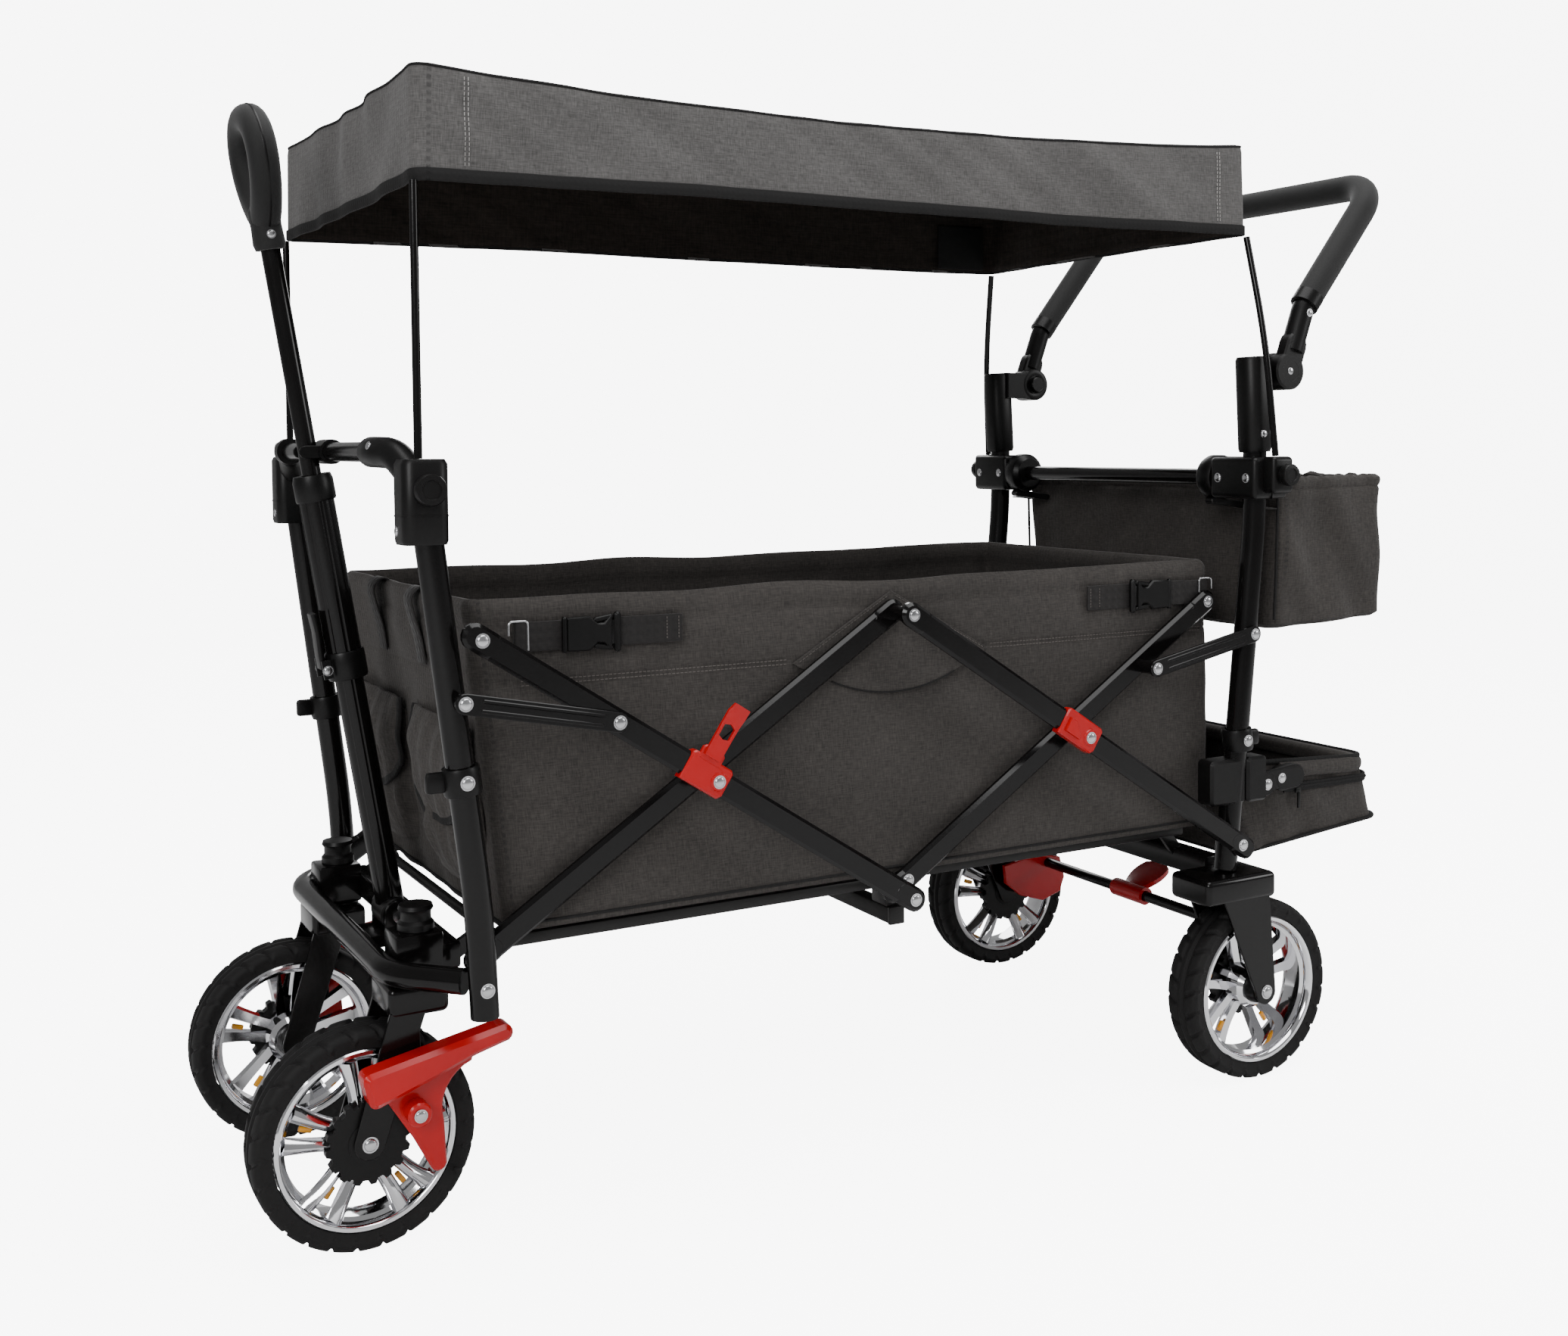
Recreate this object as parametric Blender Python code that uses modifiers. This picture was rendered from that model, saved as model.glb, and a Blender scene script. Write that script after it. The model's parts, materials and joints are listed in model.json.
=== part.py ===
"""Folding pull wagon for children: steel frame, side scissors, casters, handles, canopy and fabric tub.

Frame: +Z up, ground at z = 0, the pull handle at -X and the push handle at +X.  All places below are given
from the middle of the side scissors, which stands at FOLD_X in the part's own frame.  "left" is the -Y side.
"""
import math

import bmesh
import bpy
from mathutils import Matrix, Vector

# ---- driving dimensions, metres -------------------------------------------------------------------------
FOLD_X = -0.0450            # middle of the scissors, from the centre of the wagon's box
GAP = 0.0003                # clearance kept between pieces that touch
SIDES = (("left", -1.0), ("right", 1.0))

# side scissors: two crossing pairs of equal bars
SPAN = 0.428                # middle to lower end pivot
BAR_ANGLE = math.radians(33.0)
BAR_HALF = SPAN / 2 / math.cos(BAR_ANGLE)
PIVOT_LOW = 0.265
PIVOT_MID = PIVOT_LOW + BAR_HALF * math.sin(BAR_ANGLE)
PIVOT_TOP = PIVOT_LOW + 2 * BAR_HALF * math.sin(BAR_ANGLE)
BAR_WIDTH, BAR_THICK = 0.0230, 0.0100
BAR_OUTER_Y = 0.2534        # plane of the bars that pass outside the posts
BAR_INNER_Y = 0.2176        # plane of the bars that pass inside the posts
TOP_REACH_FRONT = 0.2685    # crossing pivot to the centre of the free top end
TOP_REACH_REAR = 0.2335
SPACER_R = 0.0080

# links from the posts to the scissors
LINK_REACH = 0.116          # crossing pivot to the link's pivot, along the bar
LINK_WIDTH, LINK_THICK = 0.0180, 0.0040
LINK_POST = (0.4508, 0.4950)
LINK_FRONT_Y, LINK_REAR_Y = 0.2610, 0.2506

# posts
POST_Y, POST_R = 0.2355, 0.0125
FRONT_POST = ((-0.4296, 0.2184), (-0.4336, 0.3155), (-0.4710, 0.6267))
REAR_POST = ((0.4228, 0.2354), (0.4378, 0.3577), (0.4662, 0.6233), (0.4659, 0.6990), (0.4614, 0.7980))

# front crossbar, sockets and canopy poles
CROSSBAR_X, CROSSBAR_Z, CROSSBAR_R = -0.4970, 0.7060, 0.0090
CROSSBAR_HALF = 0.1575
SOCKET_X = -0.4776
SOCKET_SIZE = (0.0400, 0.0380, 0.0714)
SOCKET_LOW = 0.6286
POLE_R = 0.0038
FRONT_POLE_X, FRONT_POLE_LOW = -0.4795, 0.7003
CANOPY_LOW, CANOPY_HIGH = 0.9320, 1.0350
CANOPY_FRONT, CANOPY_REAR, CANOPY_HALF_Y = -0.4805, 0.4545, 0.2400
CANOPY_WALL = 0.0030
KNOB_Z = 0.6747

# front axle frame and casters
CASTER_X, CASTER_Y = -0.4610, 0.1400
BUMPER_X, BUMPER_Z, BUMPER_R = -0.4940, 0.2480, 0.0115
WHEEL_R, WHEEL_HALF_WIDTH = 0.1000, 0.0225
RIM_R, RIM_INNER_R = 0.0812, 0.0690
FRONT_AXLE_X, REAR_AXLE_X, AXLE_Z = -0.5137, 0.4555, 0.1000
AXLE_R, AXLE_BORE_R = 0.0050, 0.0057
GEAR_R, GEAR_REACH = 0.0380, 0.0248
ARM_OFFSET, ARM_THICK = 0.02825, 0.0035
CROWN_LOW = 0.2060
PEDAL_PIVOT = (-0.4765, 0.1280)

# pull handle
PULL_PIVOT = (-0.4440, 0.2567)
PULL_LEAN = math.radians(9.1)
PULL_LOWER_LENGTH = 0.4330
PULL_LEVER_AT = 0.2500
PULL_UPPER_START, PULL_UPPER_END = 0.3930, 0.6465
PULL_LOWER_R, PULL_MID_R, PULL_COLLAR_R, PULL_UPPER_R = 0.0135, 0.0165, 0.0190, 0.0090
GRIP_R, GRIP_HALF_WIDTH, GRIP_CENTRE = 0.0145, 0.0455, 0.7220

# rear frame
REAR_HUB = (0.4632, 0.6664)
REAR_POLE = ((0.4675, 0.2650, 0.6904), (0.4592, 0.2585, 0.8150), (0.4525, 0.2360, 0.9303))
REAR_TUBE = (0.4320, 0.2298)
REAR_CROWN_LOW = 0.2045
BRAKE_BAR = (0.5080, 0.1380)
PUSH_PIVOT = (0.5098, 0.7843)
PUSH_DISC_R = 0.0210
PUSH_BEND, PUSH_END = (0.5369, 0.8572), (0.6539, 1.0015)
PUSH_Y, PUSH_R, PUSH_CORNER_R = 0.2380, 0.0155, 0.0450

# soft parts
TUB_OUTLINE = ((-0.4355, 0.5780), (-0.4000, 0.2790), (0.4275, 0.2790), (0.4275, 0.5780))
TUB_HALF_Y, TUB_WALL, TUB_FLOOR = 0.2115, 0.0060, 0.0080
UPPER_BAG = ((0.5030, 0.6900), 0.2320, (0.4920, 0.6690))
BASKET_OUTLINE = ((0.4475, 0.3450), (0.4685, 0.2320), (0.7037, 0.2533), (0.6890, 0.3330))
BASKET_HALF_Y, BASKET_WALL = 0.2050, 0.0060
BASKET_PIVOT = (0.4953, 0.3192)

# folding floor
FLOOR_HINGE_X, FLOOR_Z = 0.4000, 0.2710
FLOOR_BAR = (0.0120, 0.0110)
FLOOR_FRONT_Y, FLOOR_REAR_Y = 0.1990, 0.1830
CENTRE_TUBE = (0.0080, 0.2370)


# ---- scene and materials ----------------------------------------------------------------------------------
def clear_scene():
    """Remove every object that the file was opened with."""
    for item in list(bpy.data.objects):
        bpy.data.objects.remove(item, do_unlink=True)


def make_material(name, colour, roughness, metallic=0.0):
    """Return a Principled material of one finish."""
    finish = bpy.data.materials.new(name)
    finish.use_nodes = True
    shader = finish.node_tree.nodes["Principled BSDF"]
    shader.inputs["Base Color"].default_value = (*colour, 1.0)
    shader.inputs["Roughness"].default_value = roughness
    shader.inputs["Metallic"].default_value = metallic
    return finish


clear_scene()
WAGON = bpy.data.collections.new("folding_pull_wagon")
bpy.context.scene.collection.children.link(WAGON)
STEEL = make_material("black_steel", (0.012, 0.012, 0.013), 0.25)
PLASTIC = make_material("black_plastic", (0.015, 0.015, 0.016), 0.45)
RED = make_material("red_plastic", (0.55, 0.006, 0.010), 0.30)
CHROME = make_material("chromed_plastic", (0.80, 0.80, 0.82), 0.10, 1.0)
RUBBER = make_material("tyre_rubber", (0.012, 0.012, 0.012), 0.75)
FABRIC = make_material("grey_fabric", (0.045, 0.042, 0.040), 0.95)
FOAM = make_material("foam_sleeve", (0.010, 0.010, 0.010), 0.80)


# ---- shapes -------------------------------------------------------------------------------------------------
def adopt(mesh, name="shape"):
    """Return an object that holds the mesh, in the wagon's collection."""
    item = bpy.data.objects.new(name, mesh)
    WAGON.objects.link(item)
    return item


def baked(item):
    """Turn an object, with its modifiers or its curve, into a plain closed mesh in world places."""
    graph = bpy.context.evaluated_depsgraph_get()
    mesh = bpy.data.meshes.new_from_object(item.evaluated_get(graph))
    mesh.transform(item.matrix_world)
    work = bmesh.new()
    work.from_mesh(mesh)
    bmesh.ops.remove_doubles(work, verts=work.verts, dist=1e-6)
    bmesh.ops.recalc_face_normals(work, faces=work.faces)
    work.to_mesh(mesh)
    work.free()
    mesh.materials.clear()
    bpy.data.objects.remove(item, do_unlink=True)
    return adopt(mesh)


def from_primitive(add, matrix, **settings):
    """Add a Blender primitive, give it its place through its mesh and move it to the wagon's collection."""
    add(**settings)
    item = bpy.context.object
    for owner in item.users_collection:
        owner.objects.unlink(item)
    mesh = item.data
    bpy.data.objects.remove(item, do_unlink=True)
    mesh.transform(matrix)
    return adopt(mesh)


def box(size, centre, turn=0.0):
    """Return a box of the given size, turned about Y by an angle that lifts its +X end."""
    matrix = Matrix.Translation(centre) @ Matrix.Rotation(-turn, 4, "Y") @ Matrix.Diagonal((*size, 1.0))
    return from_primitive(bpy.ops.mesh.primitive_cube_add, matrix, size=1.0)


def rod(radius, start, end, sides=16):
    """Return a cylinder between two points."""
    start, end = Vector(start), Vector(end)
    along = end - start
    matrix = Matrix.Translation((start + end) / 2) @ along.to_track_quat("Z", "Y").to_matrix().to_4x4()
    return from_primitive(bpy.ops.mesh.primitive_cylinder_add, matrix, vertices=sides, radius=radius,
                          depth=along.length)


def tube(points, radius, cyclic=False):
    """Return a round tube, solid inside, along a chain of points."""
    curve = bpy.data.curves.new("path", "CURVE")
    curve.dimensions = "3D"
    curve.bevel_depth = radius
    curve.bevel_resolution = 2
    curve.use_fill_caps = not cyclic
    line = curve.splines.new("POLY")
    line.points.add(len(points) - 1)
    for place, point in zip(line.points, points):
        place.co = (*point, 1.0)
    line.use_cyclic_u = cyclic
    return baked(adopt(curve))


def plate(outline, y_centre, thickness):
    """Return a flat plate that stands in the XZ plane, from an outline of (x, z) points."""
    curve = bpy.data.curves.new("outline", "CURVE")
    curve.dimensions = "2D"
    curve.fill_mode = "BOTH"
    curve.extrude = thickness / 2
    line = curve.splines.new("POLY")
    line.points.add(len(outline) - 1)
    for place, point in zip(line.points, outline):
        place.co = (point[0], point[1], 0.0, 1.0)
    line.use_cyclic_u = True
    item = adopt(curve)
    item.matrix_world = Matrix.Translation((0, y_centre, 0)) @ Matrix.Rotation(math.pi / 2, 4, "X")
    bpy.context.view_layer.update()
    return baked(item)


def arc(centre, radius, start, end, steps=8):
    """Return points on an arc, angles in degrees from +X towards +Z."""
    angles = [math.radians(start + (end - start) * i / steps) for i in range(steps + 1)]
    return [(centre[0] + radius * math.cos(a), centre[1] + radius * math.sin(a)) for a in angles]


def flat_bar(start, end, width, y_centre, thickness):
    """Return a flat bar with round ends, centred on the two (x, z) points of its ends."""
    heading = math.degrees(math.atan2(end[1] - start[1], end[0] - start[0]))
    outline = arc(end, width / 2, heading - 90, heading + 90)
    outline += arc(start, width / 2, heading + 90, heading + 270)
    return plate(outline, y_centre, thickness)


def turned(profile, centre, steps=32):
    """Return a ring turned about a Y line through centre, from a closed profile of (radius, y) points."""
    mesh = bpy.data.meshes.new("profile")
    count = len(profile)
    edges = [(i, (i + 1) % count) for i in range(count)]
    mesh.from_pydata([(r, 0.0, y) for r, y in profile], edges, [])
    item = adopt(mesh)
    screw = item.modifiers.new("turn", "SCREW")
    screw.steps = screw.render_steps = steps
    screw.use_merge_vertices = True
    screw.merge_threshold = 0.0001
    item.matrix_world = Matrix.Translation(centre) @ Matrix.Rotation(-math.pi / 2, 4, "X")
    bpy.context.view_layer.update()
    return baked(item)


def boolean(item, others, operation):
    """Apply Boolean modifiers with each of the others, and remove them."""
    for other in others:
        step = item.modifiers.new(operation, "BOOLEAN")
        step.operation = operation
        step.solver = "EXACT"
        step.object = other
    bpy.context.view_layer.update()
    result = baked(item)
    for other in others:
        bpy.data.objects.remove(other, do_unlink=True)
    return result


def join(item, *others):
    """Return the pieces as one solid."""
    return boolean(item, others, "UNION")


def cut(item, *cutters):
    """Return the piece with the cutters taken out."""
    return boolean(item, cutters, "DIFFERENCE")


def tray(outline, half_y, wall, floor, open_top=True):
    """Return a shell with an open top or bottom: corners top front, bottom front, bottom rear, top rear."""
    (x0, z0), (x1, z1), (x2, z2), (x3, z3) = outline
    shell = plate(outline, 0.0, 2 * half_y)
    if open_top:
        room = [(x0 + wall, z0 + 0.05), (x0 + wall, z0), (x1 + wall, z1 + floor)]
        room += [(x2 - wall, z2 + floor), (x3 - wall, z3), (x3 - wall, z3 + 0.05)]
    else:
        room = [(x0 + wall, z0 - floor), (x1 + wall, z1), (x1 + wall, z1 - 0.05)]
        room += [(x2 - wall, z2 - 0.05), (x2 - wall, z2), (x3 - wall, z3 - floor)]
    return cut(shell, plate(room, 0.0, 2 * (half_y - wall)))


def rectangle(x_range, z_range):
    """Return the corners of an upright rectangle: top front, bottom front, bottom rear, top rear."""
    (x0, x1), (z0, z1) = x_range, z_range
    return ((x0, z1), (x0, z0), (x1, z0), (x1, z1))


# ---- joint axes -----------------------------------------------------------------------------------------------
PLACES = {}


def axis_at(name, place, parent=None):
    """Add an empty on a joint's axis, under the empty of the body that carries it."""
    item = bpy.data.objects.new("axis_" + name, None)
    item.empty_display_size = 0.03
    WAGON.objects.link(item)
    origin = PLACES[parent.name] if parent else Vector((-FOLD_X, 0, 0))
    PLACES[item.name] = Vector(place)
    item.location = Vector(place) - origin
    item.parent = parent
    return item


def put(item, name, finish, carrier):
    """Name a finished piece, give it its material and hang it on the empty that carries it."""
    item.name = item.data.name = name
    item.data.transform(Matrix.Translation(-PLACES[carrier.name]))
    item.parent = carrier
    item.data.materials.append(finish)
    item.data.shade_smooth()
    item.data.set_sharp_from_angle(angle=math.radians(35))
    return item


def post_x(post, z):
    """Return the x of a post's centre line at a height."""
    for (x0, z0), (x1, z1) in zip(post, post[1:]):
        if z <= z1:
            return x0 + (x1 - x0) * (z - z0) / (z1 - z0)
    return post[-1][0]


def along_pull(distance, y=0.0, ahead=0.0):
    """Return a point at a distance up the pull tube, and ahead of it towards -X."""
    up = (-math.sin(PULL_LEAN), math.cos(PULL_LEAN))
    front = (-math.cos(PULL_LEAN), -math.sin(PULL_LEAN))
    x = PULL_PIVOT[0] + up[0] * distance + front[0] * ahead
    z = PULL_PIVOT[1] + up[1] * distance + front[1] * ahead
    return (x, y, z)


def along_bar(pivot, distance, rising):
    """Return the (x, z) point at a distance along a bar that rises or falls towards +X."""
    slope = BAR_ANGLE if rising else -BAR_ANGLE
    return (pivot[0] + distance * math.cos(slope), pivot[1] + distance * math.sin(slope))


# ---- front frame ----------------------------------------------------------------------------------------------
def front_frame(root):
    """Posts, axle frame, sockets, crossbar and front canopy poles: one rigid body."""
    for name, side in SIDES:
        post = tube([(x, side * POST_Y, z) for x, z in FRONT_POST], POST_R)
        put(post, "front_post_" + name, STEEL, root)
        put(front_socket(side), "front_pole_socket_" + name, PLASTIC, root)
        pole = rod(POLE_R, (FRONT_POLE_X, side * POST_Y, FRONT_POLE_LOW),
                   (FRONT_POLE_X, side * POST_Y, CANOPY_LOW - GAP), 10)
        put(pole, "canopy_pole_front_" + name, STEEL, root)
    put(axle_frame(), "front_axle_frame", STEEL, root)
    put(front_crossbar(), "front_crossbar", STEEL, root)


def front_socket(side):
    """Plastic block on the post's top with the elbow that carries the crossbar."""
    block = box(SOCKET_SIZE, (SOCKET_X, side * POST_Y, SOCKET_LOW + SOCKET_SIZE[2] / 2))
    elbow = tube([(SOCKET_X - 0.002, side * 0.2220, 0.6850),
                  (SOCKET_X - 0.005, side * 0.2080, 0.6920),
                  (SOCKET_X - 0.011, side * 0.1920, 0.6990),
                  (SOCKET_X - 0.016, side * 0.1780, 0.7040),
                  (CROSSBAR_X, side * 0.1680, CROSSBAR_Z),
                  (CROSSBAR_X, side * (CROSSBAR_HALF + GAP), CROSSBAR_Z)], 0.0135)
    return join(block, elbow)


def front_crossbar():
    """Round bar between the elbows with the two prongs that hold the pull tube."""
    bar = rod(CROSSBAR_R, (CROSSBAR_X, -CROSSBAR_HALF, CROSSBAR_Z), (CROSSBAR_X, CROSSBAR_HALF, CROSSBAR_Z))
    prongs = [box((0.028, 0.003, 0.012), (CROSSBAR_X - 0.014, side * 0.0120, CROSSBAR_Z)) for _, side in SIDES]
    return join(bar, *prongs)


def axle_frame():
    """Welded front frame: bumper tube, rear cross tube, caster boxes, pull handle's bracket and floor lugs."""
    frame = tube([(-0.4428, -0.2225, BUMPER_Z), (BUMPER_X, -0.170, BUMPER_Z),
                  (BUMPER_X, 0.170, BUMPER_Z), (-0.4428, 0.2225, BUMPER_Z)], BUMPER_R)
    parts = [box((0.0190, 0.3200, 0.0250), (-0.4345, 0, 0.2525)),
             box((0.0480, 0.0510, 0.0125), (-0.4480, 0, 0.23425)),
             rod(0.0040, (PULL_PIVOT[0], -0.0240, PULL_PIVOT[1]), (PULL_PIVOT[0], 0.0240, PULL_PIVOT[1]), 12)]
    room = rod(0.0162, (PULL_PIVOT[0], -0.0203, PULL_PIVOT[1]), (PULL_PIVOT[0], 0.0203, PULL_PIVOT[1]), 20)
    parts[0] = cut(parts[0], room)
    bores = []
    for _, side in SIDES:
        y = side * CASTER_Y
        parts.append(box((0.0440, 0.0400, 0.0395), (-0.4630, y, 0.25625)))
        parts.append(box((0.0260, 0.0050, 0.0385), (PULL_PIVOT[0], side * 0.0230, 0.25275)))
        parts.append(floor_lug((-0.4300, 0.2540), -FLOOR_HINGE_X, side))
        bores.append(rod(0.0086, (CASTER_X, y, 0.2300), (CASTER_X, y, 0.2640)))
        bores.append(rod(0.0042, (CASTER_X, y, 0.2600), (CASTER_X, y, 0.2800), 12))
        bores.append(tube([(px, side * POST_Y, pz) for px, pz in FRONT_POST[:2]], POST_R + GAP))
        bores.append(rod(0.0148, (-SPAN, side * 0.2122, PIVOT_LOW), (-SPAN, side * 0.2360, PIVOT_LOW)))
    return cut(join(frame, *parts), *bores)


def floor_lug(foot, hinge_x, side):
    """Lug that carries the hinge rod of a floor frame."""
    lug = flat_bar(foot, (hinge_x, FLOOR_Z), 0.0150, side * 0.1530, 0.0060)
    return cut(lug, rod(0.0056, (hinge_x, side * 0.1400, FLOOR_Z), (hinge_x, side * 0.1660, FLOOR_Z)))


# ---- wheels and casters -----------------------------------------------------------------------------------------
def wheel_shapes():
    """Return the tyre and the rim of one wheel as meshes centred on the origin, toothed ring at -Y."""
    w, r = WHEEL_HALF_WIDTH, WHEEL_R
    side = [(RIM_R + GAP, w - 0.0035), (r - 0.0120, w), (r - 0.0040, w - 0.0040), (r, w - 0.0140)]
    profile = side + [(x, -y) for x, y in reversed(side)]
    tyre = turned(profile, (0, 0, 0))
    edge = 0.0180
    lip = [(RIM_R, edge), (RIM_R, -edge), (RIM_INNER_R, -edge), (RIM_INNER_R + 0.003, 0), (RIM_INNER_R, edge)]
    ring = turned(lip, (0, 0, 0))
    hub = rod(0.0180, (0, -0.0200, 0), (0, GEAR_REACH, 0), 20)
    gear = rod(GEAR_R, (0, -GEAR_REACH, 0), (0, -0.0120, 0), 20)
    spokes = []
    for index in range(5):
        for lean in (-11.0, 11.0):
            angle = math.radians(90 + index * 72 + lean)
            middle = (RIM_INNER_R + 0.012) / 2
            centre = (middle * math.cos(angle), -0.0100, middle * math.sin(angle))
            spokes.append(box((RIM_INNER_R - 0.008, 0.0120, 0.0080), centre, turn=angle))
    rim = join(ring, hub, gear, *spokes)
    rim = cut(rim, rod(AXLE_BORE_R, (0, -0.04, 0), (0, 0.04, 0)))
    return tyre, rim


def add_wheel(shapes, name, centre, gear_side, carrier):
    """Copy the wheel's tyre and rim to a place; gear_side is the sign of the toothed ring's Y side."""
    for shape, label, finish in zip(shapes, ("tyre", "rim"), (RUBBER, CHROME)):
        copy = adopt(shape.data.copy())
        if gear_side > 0:
            copy.data.transform(Matrix.Rotation(math.pi, 4, "Z"))
        copy.data.transform(Matrix.Translation(centre))
        put(copy, f"{name[0]}_{label}_{name[1]}", finish, carrier)


def fork_arm(axle, top, low, y_centre):
    """Return a fork arm: a plate from the crown, between two x places, to a round end at the axle."""
    outline = arc(axle, 0.0140, 180, 360)
    outline += [(top[1], low + 0.010), (top[0], low + 0.010)]
    return plate(outline, y_centre, ARM_THICK)


def casters(root, shapes):
    """Swivelling front forks with wheels, foot pedals and swivel-lock caps."""
    for name, side in SIDES:
        y = side * CASTER_Y
        swivel = axis_at("caster_" + name, (CASTER_X, y, CROWN_LOW), root)
        outer, inner = y + side * ARM_OFFSET, y - side * ARM_OFFSET
        crown = box((0.0550, 0.0620, 0.0285), (-0.4675, y, CROWN_LOW + 0.01425))
        pedal_bush = (PEDAL_PIVOT[0], outer, PEDAL_PIVOT[1])
        pieces = [fork_arm((FRONT_AXLE_X, AXLE_Z), (-0.4950, -0.4600), CROWN_LOW, outer),
                  fork_arm((FRONT_AXLE_X, AXLE_Z), (-0.4950, -0.4600), CROWN_LOW, inner),
                  flat_bar(PEDAL_PIVOT, (-0.4780, CROWN_LOW + 0.010), 0.0200, outer, ARM_THICK - 0.0006),
                  rod(0.0080, (CASTER_X, y, 0.2200), (CASTER_X, y, 0.2620)),
                  rod(AXLE_R, (FRONT_AXLE_X, inner, AXLE_Z), (FRONT_AXLE_X, outer, AXLE_Z)),
                  rod(0.0050, pedal_bush, (PEDAL_PIVOT[0], outer + side * 0.0280, PEDAL_PIVOT[1]))]
        put(join(crown, *pieces), "caster_fork_" + name, STEEL, swivel)
        spin = axis_at("front_wheel_" + name, (FRONT_AXLE_X, y, AXLE_Z), swivel)
        add_wheel(shapes, ("front", name), (FRONT_AXLE_X, y, AXLE_Z), side, spin)
        bush = axis_at("front_brake_pedal_" + name, (PEDAL_PIVOT[0], y, PEDAL_PIVOT[1]), swivel)
        put(brake_pedal(y + side * 0.0335, side), "front_brake_pedal_" + name, RED, bush)
        lock = axis_at("caster_lock_" + name, (CASTER_X, y, 0.2765), root)
        cap = join(rod(0.0165, (CASTER_X, y, 0.2765), (CASTER_X, y, 0.3000), 20),
                   rod(0.0036, (CASTER_X, y, 0.2645), (CASTER_X, y, 0.2800), 12))
        put(cap, "caster_lock_" + name, PLASTIC, lock)


def brake_pedal(face_y, side):
    """Foot pedal outside the fork: a long tread, and a web whose point reaches past the toothed ring."""
    tread_y = face_y + side * 0.0135
    tread = flat_bar((-0.5240, 0.1560), (-0.3985, 0.1838), 0.0280, tread_y, 0.0265)
    web_outline = [(-0.4640, 0.0700), (-0.4540, 0.0700), (-0.4200, 0.1760), (-0.5130, 0.1560), (-0.4900, 0.1200)]
    web = plate(web_outline, face_y + side * 0.0050, 0.0085)
    bush = rod(0.0110, (PEDAL_PIVOT[0], face_y + side * 0.0010, PEDAL_PIVOT[1]),
               (PEDAL_PIVOT[0], face_y + side * 0.0240, PEDAL_PIVOT[1]), 20)
    bore = rod(0.0056, (PEDAL_PIVOT[0], face_y - side * 0.01, PEDAL_PIVOT[1]),
               (PEDAL_PIVOT[0], face_y + side * 0.0300, PEDAL_PIVOT[1]))
    return cut(join(tread, web, bush), bore)


# ---- scissors ---------------------------------------------------------------------------------------------------
def scissors(root):
    """Side bars as a chain of bodies: rising front bars, falling front bars, falling rear, rising rear."""
    low_front, low_mid, low_rear = (-SPAN, PIVOT_LOW), (0.0, PIVOT_LOW), (SPAN, PIVOT_LOW)
    cross_front, cross_rear, top = (-SPAN / 2, PIVOT_MID), (SPAN / 2, PIVOT_MID), (0.0, PIVOT_TOP)
    axis_b = axis_at("bars_b", (low_front[0], 0, low_front[1]), root)
    axis_a = axis_at("bars_a", (cross_front[0], 0, cross_front[1]), axis_b)
    axis_c = axis_at("bars_c", (top[0], 0, top[1]), axis_b)
    axis_d = axis_at("bars_d", (cross_rear[0], 0, cross_rear[1]), axis_c)
    rear = axis_at("rear_frame", (low_rear[0], 0, low_rear[1]), axis_c)
    ends_a = (along_bar(cross_front, -TOP_REACH_FRONT, False), along_bar(low_mid, 0.0010, False))
    ends_b = (along_bar(low_front, -0.0025, True), along_bar(top, 0.0010, True))
    ends_c = (along_bar(top, -0.0010, False), along_bar(low_rear, 0.0085, False))
    ends_d = (along_bar(low_mid, -0.0010, True), along_bar(cross_rear, TOP_REACH_REAR, True))
    for name, side in SIDES:
        outer, inner = side * BAR_OUTER_Y, side * BAR_INNER_Y
        put(flat_bar(*ends_a, BAR_WIDTH, outer, BAR_THICK), "scissor_bar_a_" + name, STEEL, axis_a)
        bar_b = flat_bar(*ends_b, BAR_WIDTH, inner, BAR_THICK)
        put(join(bar_b, spacer(cross_front, side), spacer(top, side)), "scissor_bar_b_" + name, STEEL, axis_b)
        put(flat_bar(*ends_c, BAR_WIDTH, outer, BAR_THICK), "scissor_bar_c_" + name, STEEL, axis_c)
        bar_d = flat_bar(*ends_d, BAR_WIDTH, inner, BAR_THICK)
        put(join(bar_d, spacer(low_mid, side), spacer(cross_rear, side)), "scissor_bar_d_" + name, STEEL, axis_d)
        hook(name, side, cross_front, axis_a)
    put(centre_tube(), "floor_cross_tube", STEEL, axis_a)
    front_links(root)
    return rear


def spacer(pivot, side):
    """Round spacer between the inner and the outer bar at a pivot."""
    return rod(SPACER_R, (pivot[0], side * (BAR_INNER_Y + 0.002), pivot[1]), (pivot[0], side * 0.2480, pivot[1]), 12)


def hook(name, side, pivot, carrier):
    """Red lever with a window that latches the folded scissors; it stands square to the bar and flips out."""
    y = side * 0.2622
    across = (math.sin(BAR_ANGLE), math.cos(BAR_ANGLE))
    base = along_bar(pivot, -0.0190, False)

    def at(height):
        return (base[0] + across[0] * height, base[1] + across[1] * height)

    axis = axis_at("fold_lock_hook_" + name, (at(0.0125)[0], y, at(0.0125)[1]), carrier)
    lever = flat_bar(at(0.0240), at(0.0580), 0.0200, y, 0.0035)
    window = box((0.0160, 0.02, 0.0120), (at(0.0415)[0], y, at(0.0415)[1]), math.radians(90) - BAR_ANGLE)
    put(cut(lever, window), "fold_lock_hook_" + name, RED, axis)


def centre_tube():
    """Square tube under the floor between the middle pivots, with a saddle block under each floor bar."""
    x, z = CENTRE_TUBE
    blocks = [box((0.0170, 0.0300, 0.0200), (x, side * 0.1910, 0.2552)) for _, side in SIDES]
    return join(box((0.0170, 0.4230, 0.0170), (x, 0, z)), *blocks)


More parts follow.
